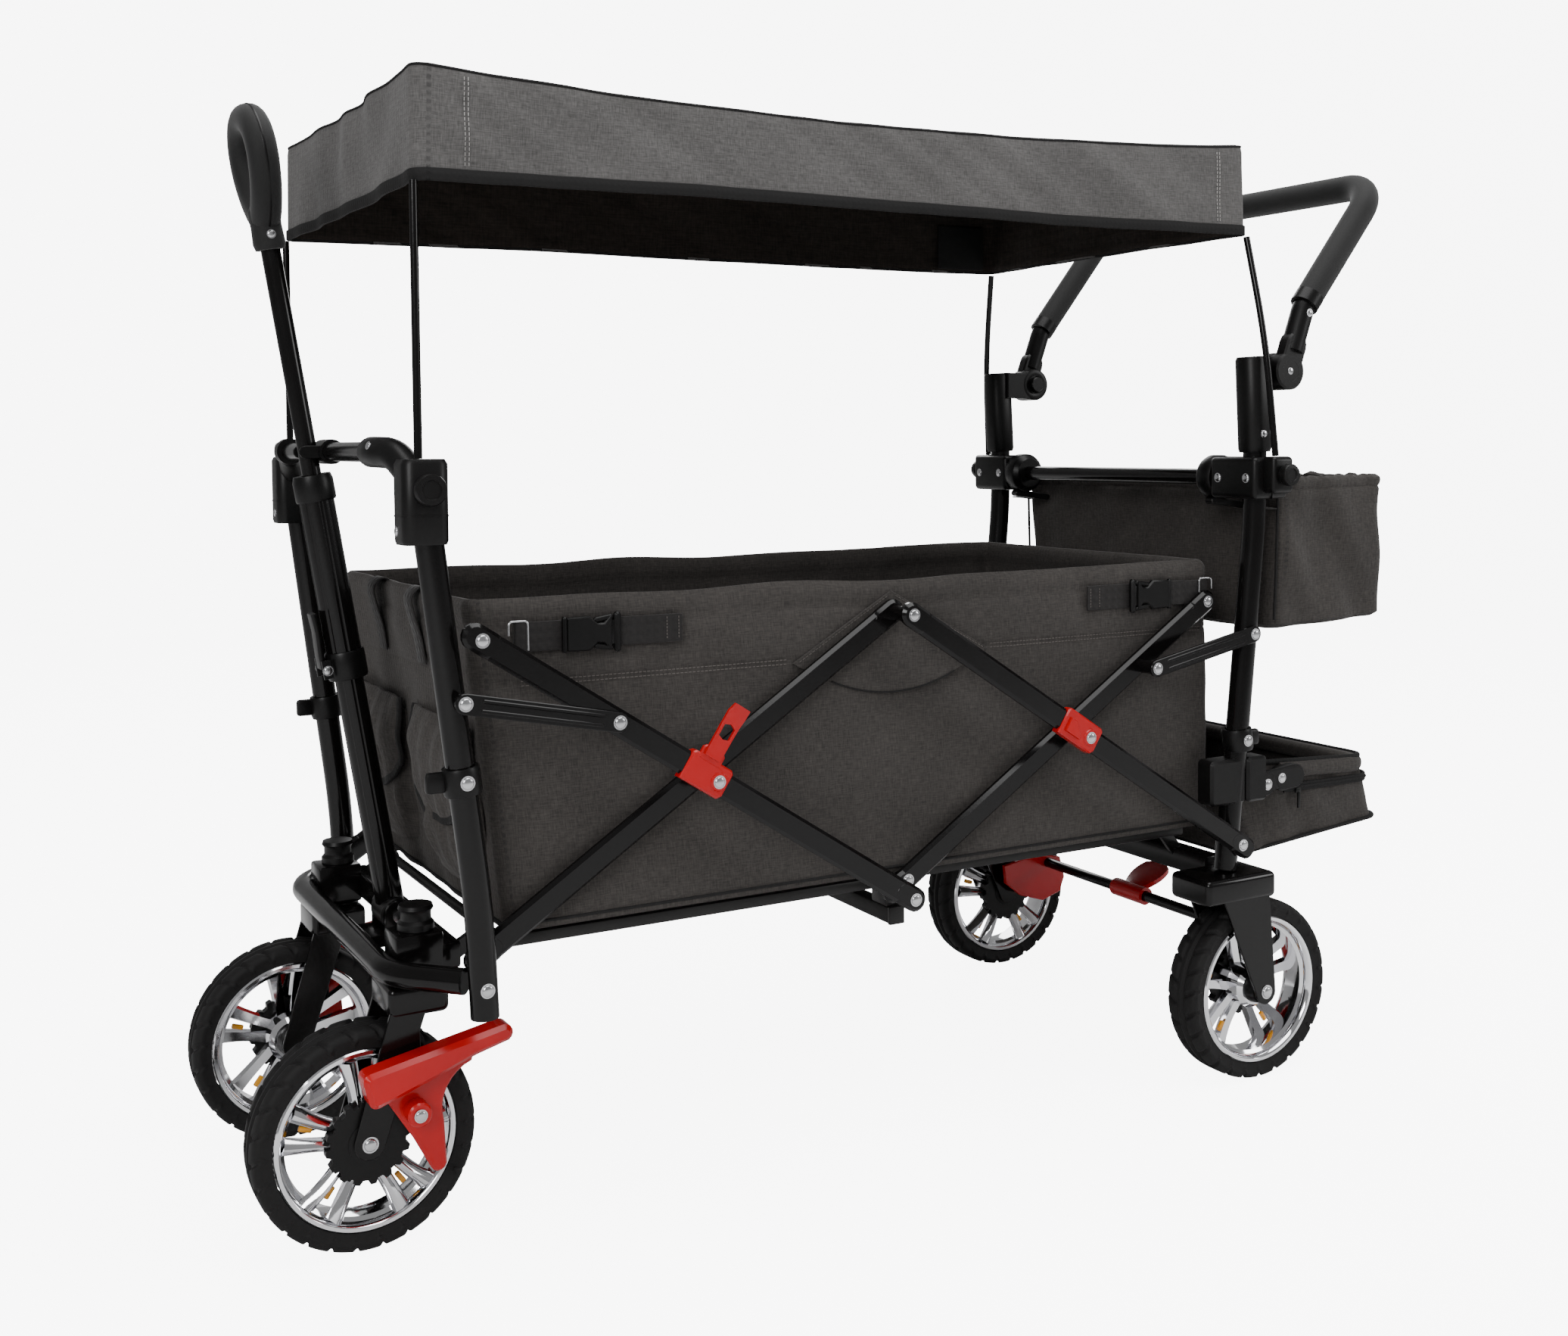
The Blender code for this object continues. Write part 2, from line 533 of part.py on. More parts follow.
def front_links(root):
    """Pressed links from the front posts to the falling front bars."""
    start = (-LINK_POST[0], LINK_POST[1])
    end = along_bar((-SPAN / 2, PIVOT_MID), -LINK_REACH, False)
    axis = axis_at("front_links", (start[0], 0, start[1]), root)
    for name, side in SIDES:
        link = flat_bar(start, end, LINK_WIDTH, side * LINK_FRONT_Y, LINK_THICK)
        boss = rod(0.0070, (start[0], side * 0.2484, start[1]), (start[0], side * 0.2600, start[1]), 12)
        put(join(link, boss), "front_link_" + name, STEEL, axis)


def rear_links(rear):
    """Pressed links from the rear posts to the rising rear bars."""
    end = along_bar((SPAN / 2, PIVOT_MID), LINK_REACH, True)
    axis = axis_at("rear_links", (LINK_POST[0], 0, LINK_POST[1]), rear)
    for name, side in SIDES:
        link = flat_bar(LINK_POST, end, LINK_WIDTH, side * LINK_REAR_Y, LINK_THICK)
        boss = rod(0.0070, (end[0], side * 0.2230, end[1]), (end[0], side * 0.2500, end[1]), 12)
        put(join(link, boss), "rear_link_" + name, STEEL, axis)


def floor_frames(root, rear):
    """Folding floor: a frame hinged at each end that rests over the centre tube."""
    for name, sign, y, carrier in (("front", -1, FLOOR_FRONT_Y, root), ("rear", 1, FLOOR_REAR_Y, rear)):
        hinge_x = sign * FLOOR_HINGE_X
        axis = axis_at("floor_" + name, (hinge_x, 0, FLOOR_Z), carrier)
        frame = rod(0.0050, (hinge_x, -y, FLOOR_Z), (hinge_x, y, FLOOR_Z))
        near, far = sign * 0.0060, sign * 0.4055
        size = (abs(far - near), *FLOOR_BAR)
        bars = [box(size, ((near + far) / 2, side * y, FLOOR_Z)) for _, side in SIDES]
        put(join(frame, *bars), "floor_frame_" + name, STEEL, axis)


# ---- rear frame -------------------------------------------------------------------------------------------------
def rear_frame(rear, shapes):
    """Rear posts, axle frame, crossbar, poles, wheels, brake bar and baskets."""
    for name, side in SIDES:
        put(rear_post(side), "rear_post_" + name, STEEL, rear)
        pole = tube([(x, side * y, z) for x, y, z in REAR_POLE], POLE_R)
        put(pole, "canopy_pole_rear_" + name, STEEL, rear)
        centre = (REAR_AXLE_X, side * 0.2360, AXLE_Z)
        spin = axis_at("rear_wheel_" + name, centre, rear)
        add_wheel(shapes, ("rear", name), centre, -side, spin)
    put(rear_axle_frame(), "rear_axle_frame", STEEL, rear)
    put(rear_crossbar(), "rear_crossbar", STEEL, rear)
    bag = tray(rectangle(UPPER_BAG[0], UPPER_BAG[2]), UPPER_BAG[1], 0.004, 0.004)
    put(bag, "upper_bag", FABRIC, rear)
    brake = axis_at("rear_brake_bar", (BRAKE_BAR[0], 0, BRAKE_BAR[1]), rear)
    put(brake_bar(), "rear_brake_bar", RED, brake)
    basket = axis_at("lower_basket", (BASKET_PIVOT[0], 0, BASKET_PIVOT[1]), rear)
    put(lower_basket(), "lower_basket", FABRIC, basket)
    rear_links(rear)


def rear_post(side):
    """Rear post with its plastic head, the fixed half of the handle's knuckle and the basket's holder."""
    y = side * POST_Y
    post = tube([(x, y, z) for x, z in REAR_POST], POST_R)
    head = tube([(REAR_POST[3][0], y, REAR_POST[3][1]), (REAR_POST[4][0], y, REAR_POST[4][1] + 0.002)], 0.0170)
    cheek = rod(PUSH_DISC_R, (PUSH_PIVOT[0], side * 0.2150, PUSH_PIVOT[1]), (PUSH_PIVOT[0], side * 0.2300, PUSH_PIVOT[1]), 20)
    gusset = box((0.0480, 0.0146, 0.0330), (0.4868, side * 0.2225, 0.7830))
    holder = box((0.0830, 0.0246, 0.0500), (0.4335, side * 0.2355, 0.3330))
    tongue = flat_bar((0.4600, BASKET_PIVOT[1]), BASKET_PIVOT, 0.0250, side * 0.2240, 0.0070)
    bore = rod(0.0108, (PUSH_PIVOT[0], side * 0.2100, PUSH_PIVOT[1]), (PUSH_PIVOT[0], side * 0.2200, PUSH_PIVOT[1]))
    return cut(join(post, head, cheek, gusset, holder, tongue), bore)


def rear_axle_frame():
    """Welded rear frame: cross tube, fork crowns, fork arms with the brake bar's lugs, axle pins, floor lugs."""
    frame = box((0.0250, 0.4160, 0.0253), (REAR_TUBE[0], 0, REAR_TUBE[1]))
    parts = []
    for _, side in SIDES:
        outer, inner = side * (0.2360 + ARM_OFFSET), side * (0.2360 - ARM_OFFSET)
        parts.append(box((0.1000, 0.0610, 0.0290), (0.4195, side * 0.2365, REAR_CROWN_LOW + 0.0145)))
        for y in (outer, inner):
            parts.append(fork_arm((REAR_AXLE_X, AXLE_Z), (0.3900, 0.4600), REAR_CROWN_LOW, y))
        parts.append(flat_bar((REAR_AXLE_X, AXLE_Z + 0.010), BRAKE_BAR, 0.0200, inner, ARM_THICK - 0.0006))
        parts.append(rod(AXLE_R, (REAR_AXLE_X, inner, AXLE_Z), (REAR_AXLE_X, outer, AXLE_Z)))
        parts.append(floor_lug((0.4290, 0.2340), FLOOR_HINGE_X, side))
    return join(frame, *parts)


def rear_crossbar():
    """Round bar with a hub disc, a post clamp and a pole socket at each end."""
    x, z = REAR_HUB
    bar = rod(0.0090, (x, -0.1800, z), (x, 0.1800, z))
    parts, holes = [], []
    for _, side in SIDES:
        parts.append(rod(0.0250, (x, side * 0.1670, z), (x, side * 0.1920, z), 24))
        parts.append(box((0.0510, 0.0710, 0.0470), (0.4660, side * 0.2265, 0.6665)))
        parts.append(box((0.0300, 0.0200, 0.0400), (REAR_POLE[0][0], side * 0.2680, 0.6700)))
        holes.append(tube([(px, side * POST_Y, pz) for px, pz in REAR_POST[1:4]], POST_R + GAP))
    return cut(join(bar, *parts), *holes)


def brake_bar():
    """Bar between the rear forks with a foot paddle and a brake plate beside each wheel."""
    x, z = BRAKE_BAR
    end = 0.2360 - ARM_OFFSET - ARM_THICK / 2 - 0.0006
    bar = rod(0.0065, (x, -end, z), (x, end, z))
    parts = [rod(0.0110, (x, -0.0080, z), (x, 0.0480, z)),
             box((0.0500, 0.0420, 0.0080), (x + 0.0250, 0.0200, z + 0.0125), turn=math.radians(26.7))]
    outline = [(0.4360, 0.1430), (0.4400, 0.1180), (0.5000, 0.0860), (0.5370, 0.1100), (0.5300, 0.1430)]
    parts += [plate(outline, side * 0.1920, 0.0040) for _, side in SIDES]
    return join(bar, *parts)


def lower_basket():
    """Open rear basket with the arms of its tube at the pivots."""
    basket = tray(BASKET_OUTLINE, BASKET_HALF_Y, BASKET_WALL, BASKET_WALL)
    arms = [flat_bar(BASKET_PIVOT, (0.5500, BASKET_PIVOT[1]), 0.0240, side * 0.2115, 0.0165) for _, side in SIDES]
    return join(basket, *arms)


# ---- handles ----------------------------------------------------------------------------------------------------
def push_handle(rear):
    """U-shaped push handle on two knuckles, and the release buttons inside the knuckles."""
    axis = axis_at("push_handle", (PUSH_PIVOT[0], 0, PUSH_PIVOT[1]), rear)
    x, z = PUSH_PIVOT
    bend, end = Vector((PUSH_BEND[0], 0, PUSH_BEND[1])), Vector((PUSH_END[0], 0, PUSH_END[1]))
    along = (end - bend).normalized()
    half = []
    for step in range(6):
        angle = math.radians(18 * step)
        inset = PUSH_CORNER_R * (1 - math.sin(angle))
        point = end - along * inset
        half.append((point.x, PUSH_Y - PUSH_CORNER_R * (1 - math.cos(angle)), point.z))
    arms = [(bend.x, PUSH_Y, bend.z)] + half
    loop = [(px, -py, pz) for px, py, pz in arms] + list(reversed(arms))
    pieces = []
    for _, side in SIDES:
        stem = Vector((bend.x - x, 0, bend.z - z)).normalized()
        foot = (x + stem.x * 0.024, side * PUSH_Y, z + stem.z * 0.024)
        tip = bend + along * 0.004
        pieces.append(tube([foot, (bend.x, side * PUSH_Y, bend.z), (tip.x, side * PUSH_Y, tip.z)], 0.0125))
        pieces.append(rod(PUSH_DISC_R, (x, side * 0.2303, z), (x, side * 0.2460, z), 20))
        tab = flat_bar((x, z), (x + stem.x * 0.030, z + stem.z * 0.030), 0.0300, side * 0.23815, 0.0157)
        pieces.append(tab)
    put(join(tube(loop, PUSH_R), *pieces), "push_handle", FOAM, axis)
    for name, side in SIDES:
        button_axis = axis_at("push_handle_button_" + name, (x, side * 0.2085, z), rear)
        button = rod(0.0100, (x, side * 0.2085, z), (x, side * 0.2165, z))
        put(button, "push_handle_button_" + name, PLASTIC, button_axis)


def pull_handle(root):
    """Pull handle: pivoting lower tube, telescopic upper tube with its loop grip, and the clamp's lever."""
    pivot = (PULL_PIVOT[0], 0, PULL_PIVOT[1])
    axis = axis_at("pull_handle", pivot, root)
    knuckle = rod(0.0155, (pivot[0], -0.0198, pivot[2]), (pivot[0], 0.0198, pivot[2]), 20)
    parts = [rod(PULL_LOWER_R, along_pull(0.0120), along_pull(PULL_LEVER_AT), 20),
             rod(PULL_MID_R, along_pull(PULL_LEVER_AT), along_pull(PULL_LOWER_LENGTH - 0.001), 20),
             rod(PULL_COLLAR_R, along_pull(PULL_LOWER_LENGTH - 0.0250), along_pull(PULL_LOWER_LENGTH), 20),
             rod(PULL_COLLAR_R, along_pull(0.2350), along_pull(0.2620), 20)]
    bore = rod(0.0102, along_pull(0.1980), along_pull(PULL_LOWER_LENGTH + 0.01), 20)
    eye = rod(0.0047, (pivot[0], -0.03, pivot[2]), (pivot[0], 0.03, pivot[2]))
    put(cut(join(knuckle, *parts), bore, eye), "pull_handle_outer_tube", STEEL, axis)
    slide = axis_at("pull_handle_slide", along_pull(PULL_LOWER_LENGTH), axis)
    upper = rod(PULL_UPPER_R, along_pull(PULL_UPPER_START), along_pull(PULL_UPPER_END + 0.01), 16)
    neck = rod(0.0145, along_pull(PULL_UPPER_END), along_pull(PULL_UPPER_END + 0.0300), 16)
    put(join(upper, neck, grip_loop()), "pull_handle_upper", STEEL, slide)
    hinge = axis_at("pull_handle_lever", along_pull(PULL_LEVER_AT, ahead=0.0240), axis)
    lever = box((0.0060, 0.0200, 0.0550), along_pull(PULL_LEVER_AT + 0.0268, ahead=0.0235), turn=PULL_LEAN)
    put(lever, "pull_handle_lever", PLASTIC, hinge)


def grip_loop():
    """Tear-drop loop across the tube: a half circle on top, its sides drawn in to the neck."""
    points = []
    for step in range(13):
        angle = math.radians(180.0 * step / 12)
        points.append(along_pull(GRIP_CENTRE + GRIP_HALF_WIDTH * math.sin(angle), GRIP_HALF_WIDTH * math.cos(angle)))
    for share in (0.75, 0.40, 0.15):
        points.append(along_pull(PULL_UPPER_END + 0.02 + share * 0.056, -GRIP_HALF_WIDTH * share ** 0.6))
    for share in (0.15, 0.40, 0.75):
        points.append(along_pull(PULL_UPPER_END + 0.02 + share * 0.056, GRIP_HALF_WIDTH * share ** 0.6))
    return tube(points, GRIP_R, cyclic=True)


def pole_knobs(root, rear):
    """Round knobs that lock the canopy poles in their sockets."""
    front = (SOCKET_X, 0.2556, KNOB_Z, 0.0135, 0.0124)
    back = (REAR_POLE[0][0], 0.2785, 0.6700, 0.0120, 0.0115)
    for end, (x, y, z, radius, length), carrier in (("front", front, root), ("rear", back, rear)):
        for name, side in SIDES:
            axis = axis_at(f"pole_knob_{end}_{name}", (x, side * y, z), carrier)
            knob = rod(radius, (x, side * y, z), (x, side * (y + length), z), 20)
            put(knob, f"pole_knob_{end}_{name}", PLASTIC, axis)


def soft_parts(root):
    """Plain solids of the tub and the canopy."""
    put(tray(TUB_OUTLINE, TUB_HALF_Y, TUB_WALL, TUB_FLOOR), "tub", FABRIC, root)
    hood = rectangle((CANOPY_FRONT, CANOPY_REAR), (CANOPY_LOW, CANOPY_HIGH))
    put(tray(hood, CANOPY_HALF_Y, CANOPY_WALL, CANOPY_WALL, open_top=False), "canopy", FABRIC, root)


def build():
    """Model the whole wagon."""
    root = axis_at("front_frame", (0, 0, 0))
    shapes = wheel_shapes()
    front_frame(root)
    casters(root, shapes)
    rear = scissors(root)
    rear_frame(rear, shapes)
    floor_frames(root, rear)
    push_handle(rear)
    pull_handle(root)
    pole_knobs(root, rear)
    soft_parts(root)
    for shape in shapes:
        bpy.data.objects.remove(shape, do_unlink=True)


build()
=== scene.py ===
"""Visible model of a folding pull wagon for children, built round its packed mechanical frame.

Places inside the classes are measured from the middle of the side scissors, as the mechanical model's are, and
Workshop moves them into the frame's own axes: +X to the push handle, +Y to the right-hand side, +Z up.
"""
from __future__ import annotations

import json
import logging
import math
from dataclasses import dataclass, field
from enum import Enum
from typing import Iterable, Sequence

import bmesh
import bpy
import numpy as np
from mathutils import Matrix, Vector


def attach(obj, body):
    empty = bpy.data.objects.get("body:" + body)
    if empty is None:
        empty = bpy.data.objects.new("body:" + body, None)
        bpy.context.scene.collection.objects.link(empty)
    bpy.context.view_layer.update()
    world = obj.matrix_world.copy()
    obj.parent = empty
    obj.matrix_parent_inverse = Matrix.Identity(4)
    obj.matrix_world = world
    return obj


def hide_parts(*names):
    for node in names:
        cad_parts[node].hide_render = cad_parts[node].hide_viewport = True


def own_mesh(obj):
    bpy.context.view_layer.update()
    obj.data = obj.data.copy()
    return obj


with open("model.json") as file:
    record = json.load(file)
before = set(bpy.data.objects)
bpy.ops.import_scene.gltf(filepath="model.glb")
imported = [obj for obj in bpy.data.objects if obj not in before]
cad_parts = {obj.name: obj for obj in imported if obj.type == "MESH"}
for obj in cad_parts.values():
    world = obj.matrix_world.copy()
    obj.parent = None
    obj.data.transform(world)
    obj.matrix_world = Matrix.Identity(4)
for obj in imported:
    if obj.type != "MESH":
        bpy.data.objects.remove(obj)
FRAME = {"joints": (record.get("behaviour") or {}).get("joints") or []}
LOG = logging.getLogger("wagon")
SIDES = (("left", -1.0), ("right", 1.0))
TAU = 2 * math.pi
# Directions: from the near side outwards, across the wagon, and up.
OUT, ACROSS, UP = (0, -1, 0), (0, 1, 0), (0, 0, 1)
# Height of the tub's underside and of its walls, in metres.
TUB_FOOT_Z, TUB_WALL_HEIGHT = 0.2790, 0.2985
# Strength of the paper and of the surround as the camera sees them, and of the surround as a light.
PAPER_GLOW, SURROUND_GLOW, SURROUND_LIGHT = 7.5, 8.0, 0.30
SHARP_ANGLE = math.radians(38)
Array = np.ndarray


# ---- finishes -------------------------------------------------------------------------------------------------
class Pattern(Enum):
    """How a finish's surface was made, which decides the nodes it gets."""

    POWDER = "powder coat sprayed on steel"
    MOULDED = "moulded plastic"
    CHROME = "chrome plated"
    RUBBER = "vulcanised rubber"
    FOAM = "closed-cell foam"
    HEATHER = "heather yarn in plain weave"
    TAPE = "narrow woven tape"
    MESH = "knitted mesh"
    ZINC = "zinc plated"


def linear(hex_colour: str) -> tuple[float, float, float, float]:
    """Turn an sRGB hex value into linear colour.

    Args:
        hex_colour: six hex digits after a #.
    Returns:
        Red, green, blue and alpha.
    """
    values = [int(hex_colour[i:i + 2], 16) / 255 for i in (1, 3, 5)]
    red, green, blue = (v / 12.92 if v <= 0.04045 else ((v + 0.055) / 1.055) ** 2.4 for v in values)
    return red, green, blue, 1.0


@dataclass(frozen=True)
class Finish:
    """A real material: its colours, shader values and the pattern its making leaves."""

    name: str
    pattern: Pattern
    dark: str
    light: str
    roughness: float
    slot: str
    metallic: float = 0.0
    ior: float = 1.5
    specular: float = 0.3
    coat: float = 0.0
    sheen: float = 0.0
    grain_mm: float = 1.0
    bump_mm: float = 0.1

    def material(self) -> bpy.types.Material:
        """Build the node material, or return the one already built."""
        known = bpy.data.materials.get(self.name)
        if known:
            return known
        made = bpy.data.materials.new(self.name)
        made.use_nodes = True
        tree = made.node_tree
        shader = tree.nodes["Principled BSDF"]
        shader.inputs["Metallic"].default_value = self.metallic
        shader.inputs["Roughness"].default_value = self.roughness
        shader.inputs["Coat Weight"].default_value = self.coat
        shader.inputs["Coat Roughness"].default_value = 0.12
        shader.inputs["Sheen Weight"].default_value = self.sheen
        shader.inputs["Sheen Roughness"].default_value = 0.45
        if not self.metallic:
            shader.inputs["IOR"].default_value = self.ior
            shader.inputs["Specular IOR Level"].default_value = self.specular
        height, shade = self._pattern(tree)
        ramp = add_node(tree, "ShaderNodeValToRGB", {}, {"Fac": shade})
        ramp.color_ramp.elements[0].position, ramp.color_ramp.elements[1].position = 0.3, 0.72
        ramp.color_ramp.elements[0].color = linear(self.dark)
        ramp.color_ramp.elements[1].color = linear(self.light)
        tree.links.new(ramp.outputs["Color"], shader.inputs["Base Color"])
        worn = add_node(tree, "ShaderNodeMapRange", {"To Min": max(self.roughness - 0.06, 0.02),
                                                     "To Max": min(self.roughness + 0.08, 1.0)}, {"Value": shade})
        tree.links.new(worn.outputs["Result"], shader.inputs["Roughness"])
        bump = add_node(tree, "ShaderNodeBump", {"Strength": 1.0, "Distance": self.bump_mm / 1000},
                        {"Height": height})
        tree.links.new(bump.outputs["Normal"], shader.inputs["Normal"])
        return made

    def _pattern(self, tree: bpy.types.NodeTree) -> tuple:
        """Return the height and the shade outputs of the finish's pattern."""
        per_metre = 1000 / self.grain_mm
        where = tree.nodes.new("ShaderNodeTexCoord")
        if self.pattern in (Pattern.HEATHER, Pattern.TAPE, Pattern.MESH):
            return self._cloth(tree, per_metre)
        place = where.outputs["Object"]
        grain = add_node(tree, "ShaderNodeTexNoise", {"Scale": per_metre, "Detail": 3.0}, {"Vector": place})
        broad = add_node(tree, "ShaderNodeTexNoise", {"Scale": 14.0, "Detail": 4.0}, {"Vector": place})
        return grain.outputs["Fac"], broad.outputs["Fac"]

    def _cloth(self, tree: bpy.types.NodeTree, per_metre: float) -> tuple:
        """Threads both ways on the piece's own UV map, whose unit is a metre of cloth."""
        laid = tree.nodes.new("ShaderNodeUVMap")
        laid.uv_map = "cloth"
        streaks = []
        for scale in ((per_metre * 0.10, per_metre, 1.0), (per_metre, per_metre * 0.10, 1.0)):
            place = add_node(tree, "ShaderNodeMapping", {"Scale": scale}, {"Vector": laid.outputs["UV"]})
            streak = add_node(tree, "ShaderNodeTexNoise", {"Scale": 1.0, "Detail": 2.0, "Roughness": 0.6},
                              {"Vector": place.outputs["Vector"]})
            streaks.append(streak.outputs["Fac"])
        both = add_node(tree, "ShaderNodeMix", {"Factor": 0.5}, {"A": streaks[0], "B": streaks[1]})
        threads = []
        for axis in ("X", "Y"):
            wave = tree.nodes.new("ShaderNodeTexWave")
            wave.bands_direction = axis
            wave.inputs["Scale"].default_value = per_metre / 20
            tree.links.new(laid.outputs["UV"], wave.inputs["Vector"])
            threads.append(wave.outputs["Fac"])
        weave = add_node(tree, "ShaderNodeMath", {}, {0: threads[0], 1: threads[1]})
        weave.operation = "MAXIMUM" if self.pattern is Pattern.MESH else "MULTIPLY"
        broad = add_node(tree, "ShaderNodeTexNoise", {"Scale": 9.0, "Detail": 3.0}, {"Vector": laid.outputs["UV"]})
        shade = add_node(tree, "ShaderNodeMix", {"Factor": 0.18}, {"A": both.outputs["Result"],
                                                                 "B": broad.outputs["Fac"]})
        return weave.outputs[0], shade.outputs["Result"]


def add_node(tree: bpy.types.NodeTree, kind: str, settings: dict, links: dict) -> bpy.types.Node:
    """Add a node, give its inputs values and link others to them.

    Args:
        tree: the node tree.
        kind: the node's type name.
        settings: input name to value.
        links: input name to the output that feeds it.
    Returns:
        The node.
    """
    node = tree.nodes.new(kind)
    for name, value in settings.items():
        node.inputs[name].default_value = value
    for name, output in links.items():
        tree.links.new(output, node.inputs[name])
    return node


# Powder-coated steel tube: glossy, with a faint orange peel.
POWDER_BLACK = Finish("powder_coated_steel", Pattern.POWDER, "#080707", "#0d0c0c", 0.16, "black_steel",
                      specular=0.2, coat=0.12, grain_mm=3.0, bump_mm=0.04)
# Floor bars and tubes under the wagon: the same coat, but matt.
POWDER_MATT = Finish("matt_coated_steel", Pattern.POWDER, "#100f0f", "#191817", 0.45, "black_steel", grain_mm=1.5)
# Glass-filled nylon mouldings: satin, lightly spark-eroded.
NYLON_BLACK = Finish("nylon_moulding", Pattern.MOULDED, "#080808", "#100f0f", 0.36, "black_plastic", specular=0.22,
                     grain_mm=1.2, bump_mm=0.05)
# Glossy polypropylene of pedals, saddles and hooks.
RED_GLOSS = Finish("red_polypropylene", Pattern.MOULDED, "#a80004", "#ba0006", 0.24, "red_plastic", coat=0.15,
                   grain_mm=4.0, bump_mm=0.03)
# Vacuum-plated ABS of the wheels.
CHROME_ABS = Finish("chrome_plated_abs", Pattern.CHROME, "#d9d9dc", "#f0f0f2", 0.06, "chromed_plastic", metallic=1.0,
                    grain_mm=6.0, bump_mm=0.02)
# Foamed rubber tyre with a dull skin.
TYRE_RUBBER = Finish("foam_rubber_tyre", Pattern.RUBBER, "#0a0909", "#121111", 0.70, "tyre_rubber", grain_mm=0.9)
# Foam sleeve on the push handle.
FOAM_BLACK = Finish("eva_foam_sleeve", Pattern.FOAM, "#111111", "#1b1b1b", 0.72, "foam_sleeve", sheen=0.15,
                    grain_mm=0.8)
# Polyester Oxford in mixed grey yarns: the streaks are drawn 1.1 mm thick, coarser than the yarn, to show.
HEATHER_DARK = Finish("heather_polyester_tub", Pattern.HEATHER, "#1d1b1a", "#4a4643", 0.88, "grey_fabric", sheen=0.06,
                      grain_mm=1.1, bump_mm=0.25)
HEATHER_LIGHT = Finish("heather_polyester_roof", Pattern.HEATHER, "#343332", "#6a6867", 0.86, "grey_fabric",
                       sheen=0.08, grain_mm=1.1, bump_mm=0.25)
# Nylon webbing and the bias tape of the hems.
WEBBING = Finish("nylon_webbing", Pattern.TAPE, "#111010", "#221f1e", 0.75, "grey_fabric", sheen=0.1, grain_mm=1.4,
                 bump_mm=0.5)
BINDING = Finish("bias_binding", Pattern.TAPE, "#0d0d0d", "#191818", 0.80, "grey_fabric", grain_mm=0.9, bump_mm=0.2)
# Knitted lining under the roof.
LINING = Finish("knitted_mesh_lining", Pattern.MESH, "#0d0b09", "#332b26", 0.9, "grey_fabric", grain_mm=2.2,
                bump_mm=0.6)
# Zinc-plated rivets, screws and wire hooks.
ZINC_STEEL = Finish("zinc_plated_steel", Pattern.ZINC, "#b9b9bb", "#d6d6d8", 0.22, "chromed_plastic", metallic=1.0,
                    grain_mm=2.0, bump_mm=0.03)
# Amber acrylic of the spoke reflectors.
AMBER = Finish("amber_acrylic", Pattern.MOULDED, "#d98a06", "#eda211", 0.12, "red_plastic", coat=0.5, grain_mm=3.0)
# Pale thread of stitching and embroidery.
THREAD = Finish("polyester_thread", Pattern.MOULDED, "#4d4946", "#5f5a57", 0.7, "grey_fabric", grain_mm=0.6)
SILVER_THREAD = Finish("embroidery_thread", Pattern.MOULDED, "#8b8987", "#a5a3a1", 0.55, "grey_fabric", grain_mm=0.5)


# ---- shapes ---------------------------------------------------------------------------------------------------
@dataclass
class Shape:
    """Points and faces of a surface, with an optional cloth position for every point."""

    points: Array
    faces: list
    cloth: Array | None = None

    def moved(self, offset: Sequence[float]) -> Shape:
        """Return the shape shifted by an offset."""
        return Shape(self.points + np.asarray(offset, float), self.faces, self.cloth)

    def mirrored(self) -> Shape:
        """Return the shape reflected in the wagon's middle plane, its faces turned to stay outwards."""
        return Shape(self.points * [1, -1, 1], [tuple(reversed(f)) for f in self.faces], self.cloth)

    def turned(self, centre: Sequence[float], axis: str, degrees: float) -> Shape:
        """Return the shape turned by the right-hand rule about an axis through a centre."""
        angle = math.radians(degrees)
        c, s = math.cos(angle), math.sin(angle)
        matrix = {"X": [[1, 0, 0], [0, c, -s], [0, s, c]], "Y": [[c, 0, s], [0, 1, 0], [-s, 0, c]],
                  "Z": [[c, -s, 0], [s, c, 0], [0, 0, 1]]}[axis]
        middle = np.asarray(centre, float)
        return Shape((self.points - middle) @ np.array(matrix).T + middle, self.faces, self.cloth)


def joined(shapes: Iterable[Shape]) -> Shape:
    """Return several shapes as one."""
    points, faces, cloth, start = [], [], [], 0
    for shape in shapes:
        points.append(shape.points)
        faces += [tuple(i + start for i in f) for f in shape.faces]
        cloth.append(shape.cloth if shape.cloth is not None else shape.points[:, [0, 2]])
        start += len(shape.points)
    return Shape(np.concatenate(points), faces, np.concatenate(cloth))


def both_sides(*shapes: Shape) -> Shape:
    """Join shapes and add their mirror image."""
    near = joined(shapes)
    return joined([near, near.mirrored()])


def grid(points: Array, round_u: bool = False, round_v: bool = False, caps: bool = False,
         cloth: Array | None = None) -> Shape:
    """Make quads over a grid of points, u along the first index and v along the second.

    Args:
        points: array of shape (u, v, 3).
        round_u: join the last row to the first.
        round_v: join the last column to the first.
        caps: close the first and the last row with a face each.
        cloth: array of shape (u, v, 2), metres along the cloth.
    Returns:
        The shape.
    """
    rows, columns = points.shape[:2]
    u = np.arange(rows if round_u else rows - 1)[:, None]
    v = np.arange(columns if round_v else columns - 1)[None, :]
    u_next, v_next = (u + 1) % rows, (v + 1) % columns
    quads = np.stack(np.broadcast_arrays(u * columns + v, u * columns + v_next, u_next * columns + v_next,
                                         u_next * columns + v), -1).reshape(-1, 4)
    faces = [tuple(q) for q in quads.tolist()]
    if caps:
        faces += [tuple(range(columns)), tuple(reversed(range((rows - 1) * columns, rows * columns)))]
    return Shape(points.reshape(-1, 3), faces, None if cloth is None else cloth.reshape(-1, 2))


